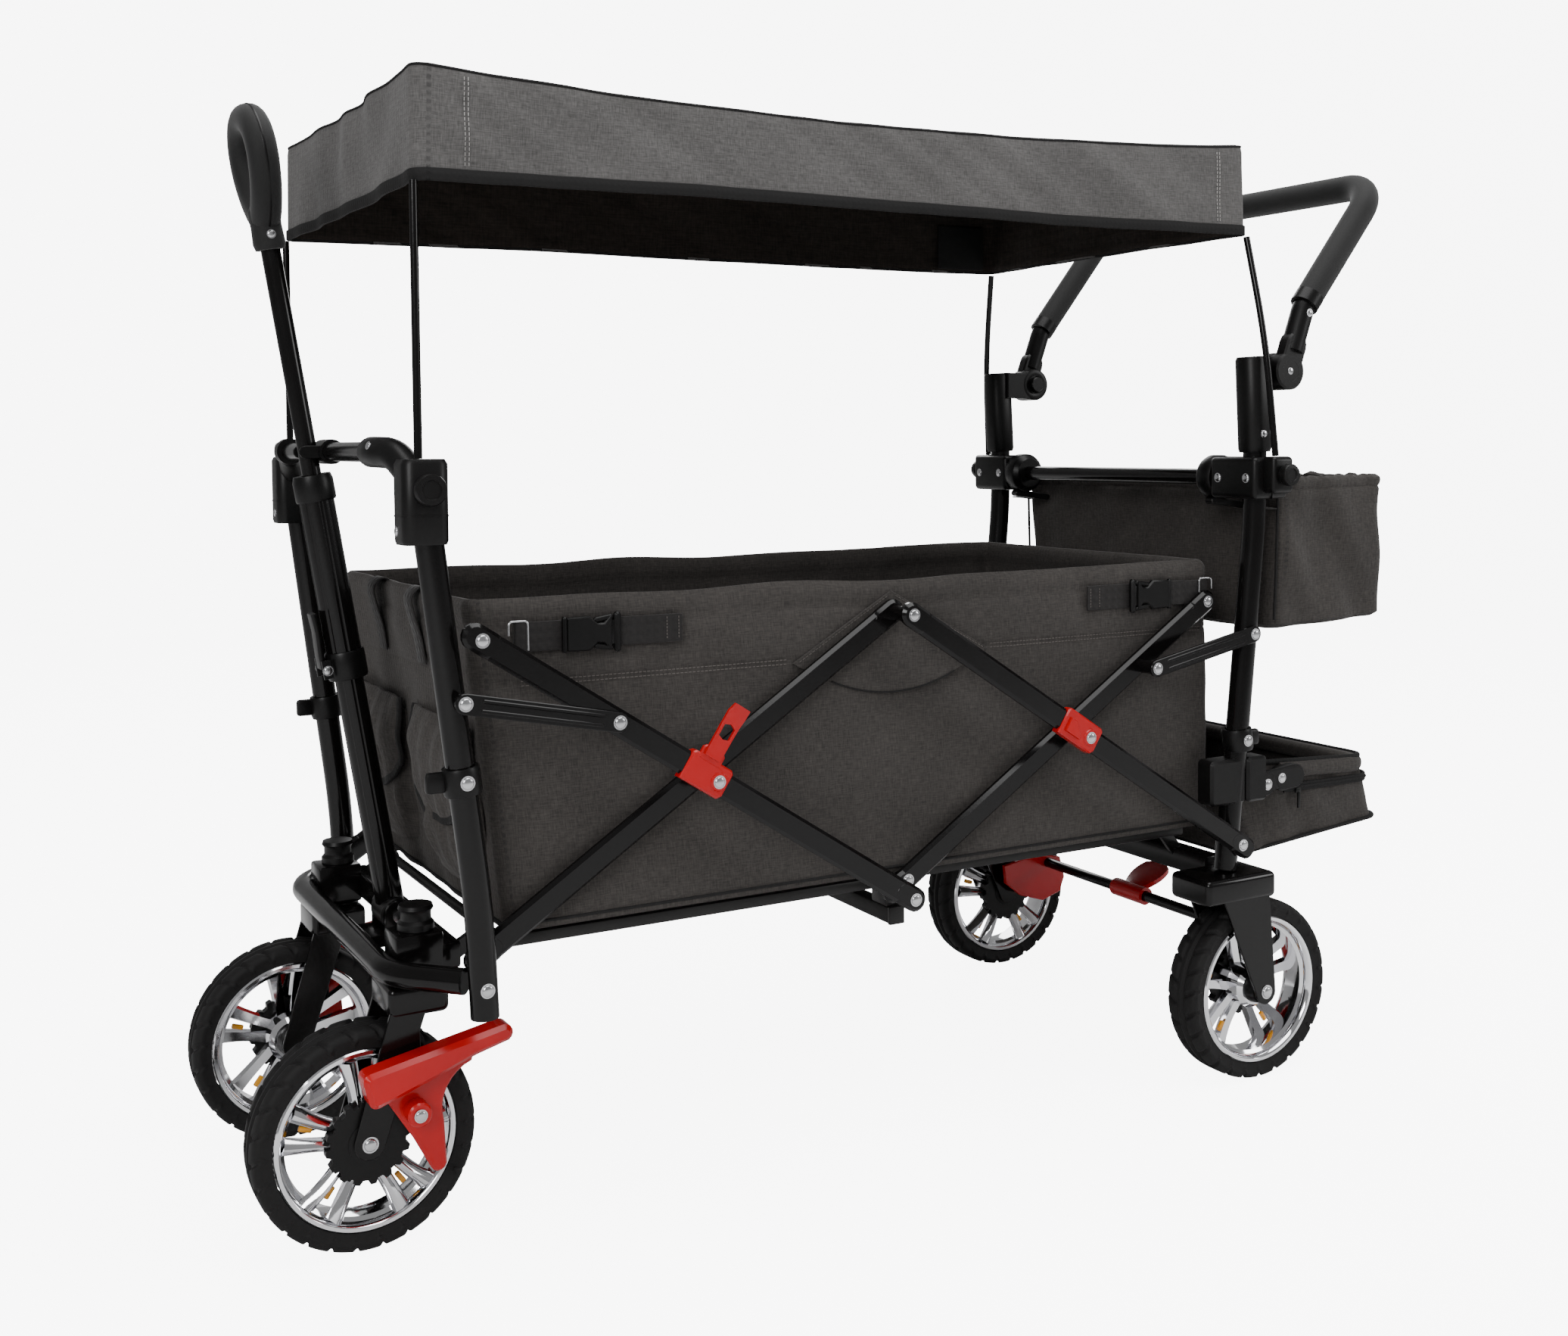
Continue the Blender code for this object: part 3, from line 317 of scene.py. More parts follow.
def unit(vectors: Array) -> Array:
    """Return vectors scaled to length one."""
    return vectors / np.maximum(np.linalg.norm(vectors, axis=-1, keepdims=True), 1e-12)


def smooth_path(corners: Sequence[Sequence[float]], radius: float = 0.02, steps: int = 6) -> Array:
    """Round the inner corners of a chain of points: each is replaced by a quadratic curve between its two sides.

    Args:
        corners: points in order.
        radius: distance from the corner at which the curve starts.
        steps: points of each curve.
    Returns:
        Points of the rounded path.
    """
    chain = np.asarray(corners, float)
    path = [chain[:1]]
    t = np.linspace(0, 1, steps)[:, None]
    for before, corner, after in zip(chain, chain[1:], chain[2:]):
        one, two = before - corner, after - corner
        cut = min(radius, np.linalg.norm(one) * 0.49, np.linalg.norm(two) * 0.49)
        start, end = corner + unit(one) * cut, corner + unit(two) * cut
        path.append((1 - t) ** 2 * start + 2 * t * (1 - t) * corner + t ** 2 * end)
    return np.concatenate(path + [chain[-1:]])


def sweep(path: Array, section: Array, up: Sequence[float], caps: bool = True, closed: bool = False,
          scale: Array | None = None) -> Shape:
    """Carry a closed section along a path that lies in the plane square to up.

    The section's first number runs sideways, along the cross product of up and the path, the second along up.

    Args:
        path: points (n, 3).
        section: points (m, 2).
        up: normal of the path's plane.
        caps: close the two ends.
        closed: join the path's end to its start.
        scale: size of the section at each point of the path.
    Returns:
        The shape.
    """
    path = np.asarray(path, float)
    if closed:
        along = unit(np.roll(path, -1, 0) - np.roll(path, 1, 0))
    else:
        along = unit(np.gradient(path, axis=0))
    lift = unit(np.broadcast_to(np.asarray(up, float), path.shape))
    across = unit(np.cross(lift, along))
    lift = np.cross(along, across)
    size = np.ones(len(path)) if scale is None else np.asarray(scale, float)
    grown = section[None] * size[:, None, None]
    points = path[:, None] + grown[..., :1] * across[:, None] + grown[..., 1:] * lift[:, None]
    length = np.concatenate([[0], np.cumsum(np.linalg.norm(np.diff(path, axis=0), axis=1))])
    girth = np.concatenate([[0], np.cumsum(np.linalg.norm(np.diff(section, axis=0), axis=1))])
    cloth = np.stack(np.meshgrid(length, girth, indexing="ij"), -1)
    return grid(points, round_u=closed, round_v=True, caps=caps and not closed, cloth=cloth)


def circle(radius: float, count: int = 24) -> Array:
    """Return a round section: radius times cosine and sine of the angle."""
    angle = np.arange(count) * TAU / count
    return radius * np.stack([np.cos(angle), np.sin(angle)], 1)


def rounded(width: float, height: float, radius: float, steps: int = 4) -> Array:
    """Return a rectangular section whose corners are quarter circles."""
    turn = np.linspace(0, math.pi / 2, steps)
    corners = []
    for index, (a, b) in enumerate(((1, 1), (-1, 1), (-1, -1), (1, -1))):
        angle = turn + index * math.pi / 2
        centre = np.array([a * (width / 2 - radius), b * (height / 2 - radius)])
        corners.append(centre + radius * np.stack([np.cos(angle), np.sin(angle)], 1))
    return np.concatenate(corners)


def lathe(profile: Sequence[Sequence[float]], centre: Sequence[float], axis: Sequence[float], count: int = 32,
          ring: bool = False) -> Shape:
    """Turn a profile of (radius, distance along the axis) about an axis through centre.

    Args:
        profile: points of the profile.
        centre: point on the axis.
        axis: the axis's direction.
        count: steps round the axis.
        ring: the profile is a closed loop.
    Returns:
        The shape.
    """
    table = np.asarray(profile, float)
    direction = unit(np.asarray(axis, float))
    spare = np.array([0.0, 0.0, 1.0]) if abs(direction[2]) < 0.9 else np.array([1.0, 0.0, 0.0])
    first = unit(np.cross(spare, direction))
    second = np.cross(direction, first)
    angle = np.arange(count)[:, None] * TAU / count
    radial = np.cos(angle) * first + np.sin(angle) * second
    points = (np.asarray(centre, float) + table[None, :, :1] * radial[:, None]
              + table[None, :, 1:] * direction)
    return grid(points, round_u=True, round_v=ring)


def block(size: Sequence[float], centre: Sequence[float], radius: float = 0.002, steps: int = 3) -> Shape:
    """Make a box with rounded edges: the points of a sphere, its eight parts moved apart to the box's corners.

    Args:
        size: lengths along X, Y and Z.
        centre: the box's middle.
        radius: of the edges.
        steps: points on each quarter of a turn.
    Returns:
        The shape.
    """
    quarter = np.linspace(0, math.pi / 2, steps)
    lat = np.concatenate([quarter - math.pi / 2, quarter])
    lat_sign = np.repeat([-1.0, 1.0], steps)
    lon = np.concatenate([quarter + k * math.pi / 2 for k in range(4)])
    signs = np.repeat(np.array([[1, 1], [-1, 1], [-1, -1], [1, -1]], float), steps, axis=0)
    core = np.asarray(size, float) / 2 - radius
    x = np.cos(lat)[:, None] * np.cos(lon) * radius + core[0] * signs[:, 0]
    y = np.cos(lat)[:, None] * np.sin(lon) * radius + core[1] * signs[:, 1]
    z = (np.sin(lat) * radius + core[2] * lat_sign)[:, None] + np.zeros_like(x)
    return grid(np.stack([x, y, z], -1) + np.asarray(centre, float), round_v=True, caps=True)


def plate(outline: Sequence[Sequence[float]], low_y: float, high_y: float, edge: float = 0.0008) -> Shape:
    """Make a flat plate that stands in the XZ plane, its rim eased by a small slope at both faces.

    Args:
        outline: (x, z) points in order.
        low_y: one face.
        high_y: the other face.
        edge: how far the rim is eased.
    Returns:
        The shape.
    """
    rim = np.asarray(outline, float)
    ahead, behind = unit(np.roll(rim, -1, 0) - rim), unit(rim - np.roll(rim, 1, 0))
    area = np.sum(rim[:, 0] * np.roll(rim[:, 1], -1) - np.roll(rim[:, 0], -1) * rim[:, 1])
    inward = unit(np.stack([-(ahead + behind)[:, 1], (ahead + behind)[:, 0]], 1)) * np.sign(area)
    levels = [(low_y, 1.0), (low_y + edge, 0.0), (high_y - edge, 0.0), (high_y, 1.0)]
    rows = [np.insert(rim + inward * edge * share, 1, y, axis=1) for y, share in levels]
    return grid(np.stack(rows), round_v=True, caps=True)


def arc(centre: Sequence[float], radius: float, start: float, end: float, count: int = 9) -> Array:
    """Return (x, z) points on an arc, angles in degrees from +X towards +Z."""
    angle = np.radians(np.linspace(start, end, count))
    return np.asarray(centre, float) + radius * np.stack([np.cos(angle), np.sin(angle)], 1)


def strip(start: Sequence[float], end: Sequence[float], width: float) -> Array:
    """Return the (x, z) outline of a bar with round ends between the centres of its ends."""
    heading = math.degrees(math.atan2(end[1] - start[1], end[0] - start[0]))
    return np.concatenate([arc(end, width / 2, heading - 90, heading + 90),
                           arc(start, width / 2, heading + 90, heading + 270)])


def rivet(place: Sequence[float], axis: Sequence[float], radius: float = 0.0052, height: float = 0.0026) -> Shape:
    """Make a domed rivet head with its washer, which stands on a face and points along axis."""
    dome = [(radius * math.cos(t), height * (0.35 + 0.65 * math.sin(t))) for t in np.linspace(0, math.pi / 2, 5)]
    profile = [(0.0, -0.0006), (radius * 1.25, -0.0006), (radius * 1.25, height * 0.2), (radius, height * 0.2)]
    return lathe(profile + dome, place, axis, 20)


def noise(u: Array, v: Array, seed: int, size: float, waves: int = 14) -> Array:
    """Return a smooth uneven height between about -1 and 1: a sum of sine waves whose headings are drawn from seed.

    Args:
        u: first place, metres.
        v: second place, metres.
        seed: draws the waves.
        size: typical distance between two creases, metres.
        waves: how many are summed.
    Returns:
        The height at each place.
    """
    draw = np.random.default_rng(seed)
    total = np.zeros(np.broadcast(u, v).shape)
    for _ in range(waves):
        heading, stretch, phase = draw.uniform(0, TAU), draw.uniform(0.6, 1.8), draw.uniform(0, TAU)
        total = total + np.sin(TAU / (size * stretch) * (u * math.cos(heading) + v * math.sin(heading)) + phase)
    return total / math.sqrt(waves)


@dataclass
class Fold:
    """A cloth piece's front end and length along X, and the scissors' travel; the cloth is not gathered as the wagon
    folds.
    """

    anchor_x: float
    length: float
    travel: float = 0.7314

    def gather(self, piece: bpy.types.Object, shift: float) -> None:
        """Give the piece its own copy of its mesh; nothing is flattened."""
        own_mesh(piece)


@dataclass
class Workshop:
    """Turns shapes into finished pieces that ride on the frame's bodies."""

    shift: float

    def piece(self, name: str, shapes: Shape | Iterable[Shape], finish: Finish, body: str,
              stands_for: Sequence[str] = (), wall: float = 0.0,
              fold: Fold | None = None, sharp: float = SHARP_ANGLE) -> bpy.types.Object:
        """Make one piece.

        Args:
            name: the piece's name.
            shapes: one shape or several, which are joined.
            finish: its material.
            body: the body that it rides on.
            stands_for: the mechanical nodes that it replaces.
            wall: thickness given to an open sheet.
            fold: the cloth's fold settings, which only give the piece its own mesh.
            sharp: edges above this angle stay sharp.
        Returns:
            The object.
        """
        shape = shapes if isinstance(shapes, Shape) else joined(shapes)
        mesh = bpy.data.meshes.new(name)
        mesh.from_pydata((shape.points + [self.shift, 0, 0]).tolist(), [], shape.faces)
        if shape.cloth is not None:
            laid = mesh.uv_layers.new(name="cloth")
            index = np.zeros(len(mesh.loops), np.int32)
            mesh.loops.foreach_get("vertex_index", index)
            laid.data.foreach_set("uv", shape.cloth[index].astype(np.float32).ravel())
        work = bmesh.new()
        work.from_mesh(mesh)
        bmesh.ops.remove_doubles(work, verts=work.verts, dist=2e-6)
        bmesh.ops.dissolve_degenerate(work, edges=work.edges, dist=1e-7)
        bmesh.ops.recalc_face_normals(work, faces=work.faces)
        work.to_mesh(mesh)
        work.free()
        mesh.shade_smooth()
        mesh.set_sharp_from_angle(angle=sharp)
        mesh.materials.append(finish.material())
        made = bpy.data.objects.new(name, mesh)
        bpy.context.scene.collection.objects.link(made)
        if wall:
            solid = made.modifiers.new("wall", "SOLIDIFY")
            solid.thickness, solid.offset = wall, -1.0
        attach(made, body)
        if fold:
            fold.gather(made, self.shift)
        if stands_for:
            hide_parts(*stands_for)
        LOG.info("%s: %d faces on %s", name, len(mesh.polygons), body)
        return made


def pair(name: str) -> tuple[str, str]:
    """Return the names of a part on the left and on the right."""
    return f"{name}_left", f"{name}_right"


# ---- steel frame ----------------------------------------------------------------------------------------------
@dataclass
class Posts:
    """Bent round posts at the four corners, with their clips and rivets."""

    shop: Workshop
    y: float = 0.2355
    radius: float = 0.0125
    front: tuple = ((-0.4296, 0.2184), (-0.4336, 0.3155), (-0.4716, 0.6320))
    rear: tuple = ((0.4228, 0.2350), (0.4378, 0.3577), (0.4662, 0.6233), (0.4659, 0.7100))

    def tube(self, line: Sequence[Sequence[float]]) -> Shape:
        """Return the near post of a chain of (x, z) points."""
        path = smooth_path([(x, -self.y, z) for x, z in line], 0.04)
        return sweep(path, circle(self.radius, 32), ACROSS)

    def clip(self, place: Sequence[float], reach: float) -> Shape:
        """Return the moulded clip round the near post: a collar and a tab that reaches along X."""
        x, z = place
        collar = lathe([(0.0127, -0.012), (0.0158, -0.012), (0.0168, -0.009), (0.0168, 0.009), (0.0158, 0.012),
                        (0.0127, 0.012)], (x, -self.y, z), (-0.12, 0, 1), 28, ring=True)
        tab = block((abs(reach), 0.008, 0.018), (x + reach / 2 + math.copysign(0.012, reach), -self.y, z), 0.003)
        return joined([collar, tab])

    def build(self) -> None:
        """Make the four posts and their clips."""
        names = pair("front_post")
        self.shop.piece("front_posts", both_sides(self.tube(self.front)), POWDER_BLACK, "front_frame", names)
        clip = self.clip((-0.4468, 0.4261), -0.020)
        self.shop.piece("front_post_clips", both_sides(clip), NYLON_BLACK, "front_frame")
        heads = [rivet((x, -self.y - 0.0122, z), OUT) for x, z in ((-0.4308, 0.2448), (-0.4508, 0.4950))]
        heads.append(rivet((-0.4468, -self.y - 0.0165, 0.4261), OUT))
        self.shop.piece("front_post_rivets", both_sides(*heads), ZINC_STEEL, "front_frame")
        self.rear_post()

    def rear_post(self) -> None:
        """Make the rear posts with their sleeves, cheeks and the basket's holders."""
        top = [(0.4661, -self.y, 0.6950), (0.4659, -self.y, 0.6990), (0.4614, -self.y, 0.7960),
               (0.4612, -self.y, 0.8000)]
        self.shop.piece("rear_posts", both_sides(self.tube(self.rear)), POWDER_BLACK, "rear_frame", pair("rear_post"))
        sleeve = sweep(np.array(top), rounded(0.034, 0.033, 0.014, 6), ACROSS, scale=np.array([0.93, 1, 1, 0.9]))
        cheek = lathe([(0, 0.0148), (0.0205, 0.0148), (0.0210, 0.0135), (0.0210, 0.001), (0.0190, 0), (0.0125, 0),
                       (0.0108, 0.001), (0.0108, 0.005), (0, 0.005)], (0.5098, -0.2150, 0.7843), OUT, 40)
        web = plate([(0.4640, 0.7660), (0.4900, 0.7660), (0.5090, 0.7640), (0.5120, 0.8050), (0.4880, 0.8000),
                     (0.4640, 0.8000)], -0.2298, -0.2152, 0.002)
        holder = joined([plate(self.shell(0.3920, 0.4430), -0.2478, -0.2232, 0.003),
                         plate(self.shell(0.4450, 0.4750), -0.2478, -0.2232, 0.003),
                         plate(strip((0.4600, 0.3192), (0.4953, 0.3192), 0.025), -0.2275, -0.2205, 0.001)])
        clip = self.clip((0.4410, 0.3780), 0.018)
        self.shop.piece("rear_post_mouldings", both_sides(sleeve, cheek, web, holder, clip), NYLON_BLACK,
                        "rear_frame")
        heads = [rivet((0.4508, -self.y - 0.0122, 0.4950), OUT),
                 rivet((0.4410, -self.y - 0.0165, 0.3780), OUT),
                 rivet((0.4953, -0.2273, 0.3192), OUT),
                 rivet((0.4640, -0.2515, 0.7150), OUT, 0.004, 0.002)]
        self.shop.piece("rear_post_rivets", both_sides(*heads), ZINC_STEEL, "rear_frame")

    @staticmethod
    def shell(start: float, end: float) -> Array:
        """Return the outline of one half of the holder: a plate whose outer corners are rounded."""
        low, high, radius = 0.313, 0.353, 0.005
        corners = ((end - radius, high), (start + radius, high), (start + radius, low), (end - radius, low))
        return np.concatenate([arc(corner, radius, 90 * k, 90 * k + 90, 4) for k, corner in enumerate(corners)])


@dataclass
class FrontFrame:
    """Welded axle frame, sockets, crossbar, poles and knobs at the front."""

    shop: Workshop
    post_y: float = 0.2355

    def build(self) -> None:
        """Make the pieces of the front frame."""
        self.axle()
        self.top()

    def axle(self) -> None:
        """Bent bumper tube, square cross tube, caster boxes, pull handle's bracket and floor lugs."""
        bow = smooth_path([(-0.4428, -0.2225, 0.248), (-0.4940, -0.1700, 0.248), (-0.4940, 0.1700, 0.248),
                           (-0.4428, 0.2225, 0.248)], 0.025)
        parts = [sweep(bow, circle(0.0115, 28), UP), block((0.0185, 0.32, 0.0245), (-0.4345, 0, 0.2525), 0.003)]
        near = [block((0.044, 0.040, 0.0395), (-0.463, -0.14, 0.25625), 0.003),
                lathe([(0.0205, 0), (0.0205, 0.003), (0.0170, 0.0045), (0, 0.0045)], (-0.461, -0.14, 0.2330), UP),
                plate(strip((-0.444, 0.236), (-0.444, 0.2590), 0.026), -0.0255, -0.0205, 0.0006),
                plate(strip((-0.430, 0.254), (-0.400, 0.271), 0.015), -0.156, -0.150, 0.0006)]
        parts += [both_sides(*near), block((0.048, 0.051, 0.012), (-0.448, 0, 0.23425), 0.0015)]
        self.shop.piece("front_axle_weldment", parts, POWDER_BLACK, "front_frame", ("front_axle_frame",))
        pin = lathe([(0, -0.029), (0.0062, -0.028), (0.0062, -0.0258), (0.0038, -0.0256), (0.0038, 0.0256),
                     (0.0062, 0.0258), (0.0062, 0.028), (0, 0.029)], (-0.444, 0, 0.2567), ACROSS, 24)
        self.shop.piece("pull_handle_pivot_bolt", pin, ZINC_STEEL, "front_frame")

    def top(self) -> None:
        """Sockets with their elbows, the crossbar with its clip, the poles and the pole locks."""
        y = -self.post_y
        body = sweep(np.array([(-0.4776, y, 0.6286), (-0.4776, y, 0.6320), (-0.4776, y, 0.6960), (-0.4776, y, 0.7000)]),
                     rounded(0.040, 0.038, 0.010, 6), ACROSS, scale=np.array([0.94, 1.0, 1.0, 0.90]))
        bend = smooth_path([(-0.4796, -0.2220, 0.6850), (-0.4880, -0.1960, 0.7050), (-0.4970, -0.1740, 0.7060),
                            (-0.4970, -0.1578, 0.7060)], 0.020)
        elbow = sweep(bend, circle(0.0135, 28), (0.35, 0, 0.94))
        seam = sweep(np.array([(-0.4776, y, 0.6520), (-0.4776, y, 0.6535)]), rounded(0.0408, 0.0388, 0.0102, 6), ACROSS)
        lug = lathe([(0.0110, 0), (0.0110, 0.0006), (0.0095, 0.0011), (0, 0.0011)], (-0.4776, -0.2545, 0.6747), OUT)
        self.shop.piece("front_sockets", both_sides(body, elbow, seam, lug), NYLON_BLACK, "front_frame",
                        pair("front_pole_socket"))
        bar = lathe([(0, -0.1575), (0.009, -0.1575), (0.009, 0.1575), (0, 0.1575)], (-0.497, 0, 0.706), ACROSS, 28)
        self.shop.piece("front_crossbar_tube", bar, POWDER_BLACK, "front_frame", ("front_crossbar",))
        prong = plate(np.concatenate([arc((-0.521, 0.706), 0.006, 90, 270, 6), [(-0.497, 0.700), (-0.497, 0.712)]]),
                      -0.0135, -0.0105, 0.0006)
        collar = lathe([(0.0092, -0.018), (0.0118, -0.018), (0.0118, 0.018), (0.0092, 0.018)], (-0.497, 0, 0.706),
                       ACROSS, 28, ring=True)
        self.shop.piece("pull_handle_clip", [both_sides(prong), collar], NYLON_BLACK, "front_frame")
        screw = joined([rivet((-0.5065, -0.1800, 0.7110), (-0.9, -0.2, 0.2), 0.0035, 0.0016),
                        rivet((-0.4980, y + 0.004, 0.6400), (-1, 0, 0), 0.0035, 0.0016)])
        self.shop.piece("front_socket_screws", both_sides(screw), ZINC_STEEL, "front_frame")
        pole = sweep(np.array([(-0.4795, y, 0.7003), (-0.4795, y, 0.9317)]), circle(0.0036, 14), ACROSS)
        self.shop.piece("front_canopy_poles", both_sides(pole), POWDER_BLACK, "front_frame",
                        pair("canopy_pole_front"))
        for end, place, radius, body in (("front", (-0.4776, 0.2556, 0.6747), 0.0135, "front"),
                                         ("rear", (0.4675, 0.2785, 0.6700), 0.0120, "rear")):
            for name, side in SIDES:
                knob = self.knob((place[0], side * place[1], place[2]), side, radius)
                self.shop.piece(f"pole_lock_{end}_{name}", knob, NYLON_BLACK, f"pole_knob_{body}_{name}",
                                (f"pole_knob_{body}_{name}",))

    @staticmethod
    def knob(place: Sequence[float], side: float, radius: float) -> Shape:
        """Return a round pull knob: a fluted rim, and a dished cap."""
        profile = [(0, 0.0), (radius * 0.80, 0.0), (radius * 0.82, 0.003), (radius, 0.0045), (radius, 0.0100),
                   (radius * 0.93, 0.0115), (radius * 0.62, 0.0118), (radius * 0.56, 0.0105), (0, 0.0105)]
        return lathe(profile, place, (0, side, 0), 40)


@dataclass
class Casters:
    """Swivelling forks with their pedals and locks."""

    shop: Workshop
    swivel: tuple = (-0.461, 0.14)
    axle: tuple = (-0.5137, 0.100)

    def build(self) -> None:
        """Make both casters."""
        for name, side in SIDES:
            turn = (lambda shape: shape) if side < 0 else (lambda shape: shape.mirrored())
            self.shop.piece(f"caster_fork_steel_{name}", turn(self.fork()), POWDER_BLACK, f"caster_{name}",
                            (f"caster_fork_{name}",))
            self.shop.piece(f"foot_pedal_{name}", turn(self.pedal()), RED_GLOSS, f"front_brake_pedal_{name}",
                            (f"front_brake_pedal_{name}",))
            self.shop.piece(f"swivel_lock_cap_{name}", turn(self.cap()), NYLON_BLACK, f"caster_lock_{name}",
                            (f"caster_lock_{name}",))
            bolt = joined([rivet((-0.4765, -0.14 - 0.0585, 0.128), OUT, 0.0048, 0.002),
                           rivet((*self.axle[:1], -0.17, self.axle[1]), OUT, 0.0058, 0.0035)])
            self.shop.piece(f"caster_bolts_{name}", turn(bolt), ZINC_STEEL, f"caster_{name}")

    def fork(self) -> Shape:
        """Return the near fork: a pressed crown, two tapered arms and the stem."""
        y = -self.swivel[1]
        rim = np.concatenate([arc(self.axle, 0.0140, 170, 350, 12), [(-0.4610, 0.2120), (-0.4940, 0.2120)]])
        arms = [plate(rim, y + o - 0.00175, y + o + 0.00175, 0.0007) for o in (-0.02825, 0.02825)]
        lug = plate(strip((-0.4765, 0.128), (-0.478, 0.214), 0.020), y - 0.0297, y - 0.0268, 0.0004)
        crown = block((0.055, 0.062, 0.0280), (-0.4675, y, 0.2203), 0.006, 5)
        stem = lathe([(0, 0.030), (0.0080, 0.030), (0.0080, 0.062), (0, 0.0620)], (self.swivel[0], y, 0.2), UP, 24)
        bush = lathe([(0.0048, 0.028), (0.0050, 0.028), (0.0050, 0.0585), (0, 0.0585)], (-0.4765, y, 0.128), OUT, 20)
        return joined([*arms, lug, crown, stem, bush])

    def pedal(self) -> Shape:
        """Return the near foot pedal: a deep tread with a turned-down rim over a pointed web."""
        y = -self.swivel[1] - 0.0335
        tread = np.concatenate([arc((-0.3985, 0.1868), 0.0080, -60, 95, 7), [(-0.4300, 0.1890)],
                                arc((-0.5185, 0.1655), 0.0070, 100, 190, 6),
                                arc((-0.5140, 0.1480), 0.0070, 190, 285, 6),
                                [(-0.4600, 0.1590), (-0.4250, 0.1720)]])
        web = np.concatenate([[(-0.4200, 0.1760)], arc((-0.4120, 0.1240), 0.0400, 108, 195, 9),
                              arc((-0.4560, 0.0760), 0.0075, 350, 200, 6), [(-0.4780, 0.1020), (-0.5080, 0.1500)]])
        skirt = plate(tread, y - 0.0265, y - 0.0005, 0.0040)
        ribs = [plate(strip((x, 0.1905 + 0.25 * (x + 0.405)), (x, 0.1930 + 0.25 * (x + 0.405)), 0.0016), y - 0.0215,
                      y - 0.0060, 0.0005) for x in (-0.4040, -0.4110, -0.4180, -0.4250, -0.4320)]
        boss = lathe([(0.0058, 0.0008), (0.0110, 0.0008), (0.0110, 0.0225), (0.0095, 0.0240), (0.0058, 0.0240)],
                     (-0.4765, y, 0.128), OUT, 32, ring=True)
        return joined([skirt, *ribs, plate(web, y - 0.0090, y - 0.0008, 0.0018), boss])

    def cap(self) -> Shape:
        """Return the near swivel-lock cap: a waisted button with a domed top."""
        profile = [(0, -0.012), (0.0036, -0.012), (0.0036, 0.0), (0.0165, 0.0), (0.0165, 0.006), (0.0138, 0.009),
                   (0.0138, 0.016), (0.0160, 0.019), (0.0150, 0.0225), (0.0080, 0.0235), (0, 0.0235)]
        return lathe(profile, (self.swivel[0], -self.swivel[1], 0.2765), UP, 36)


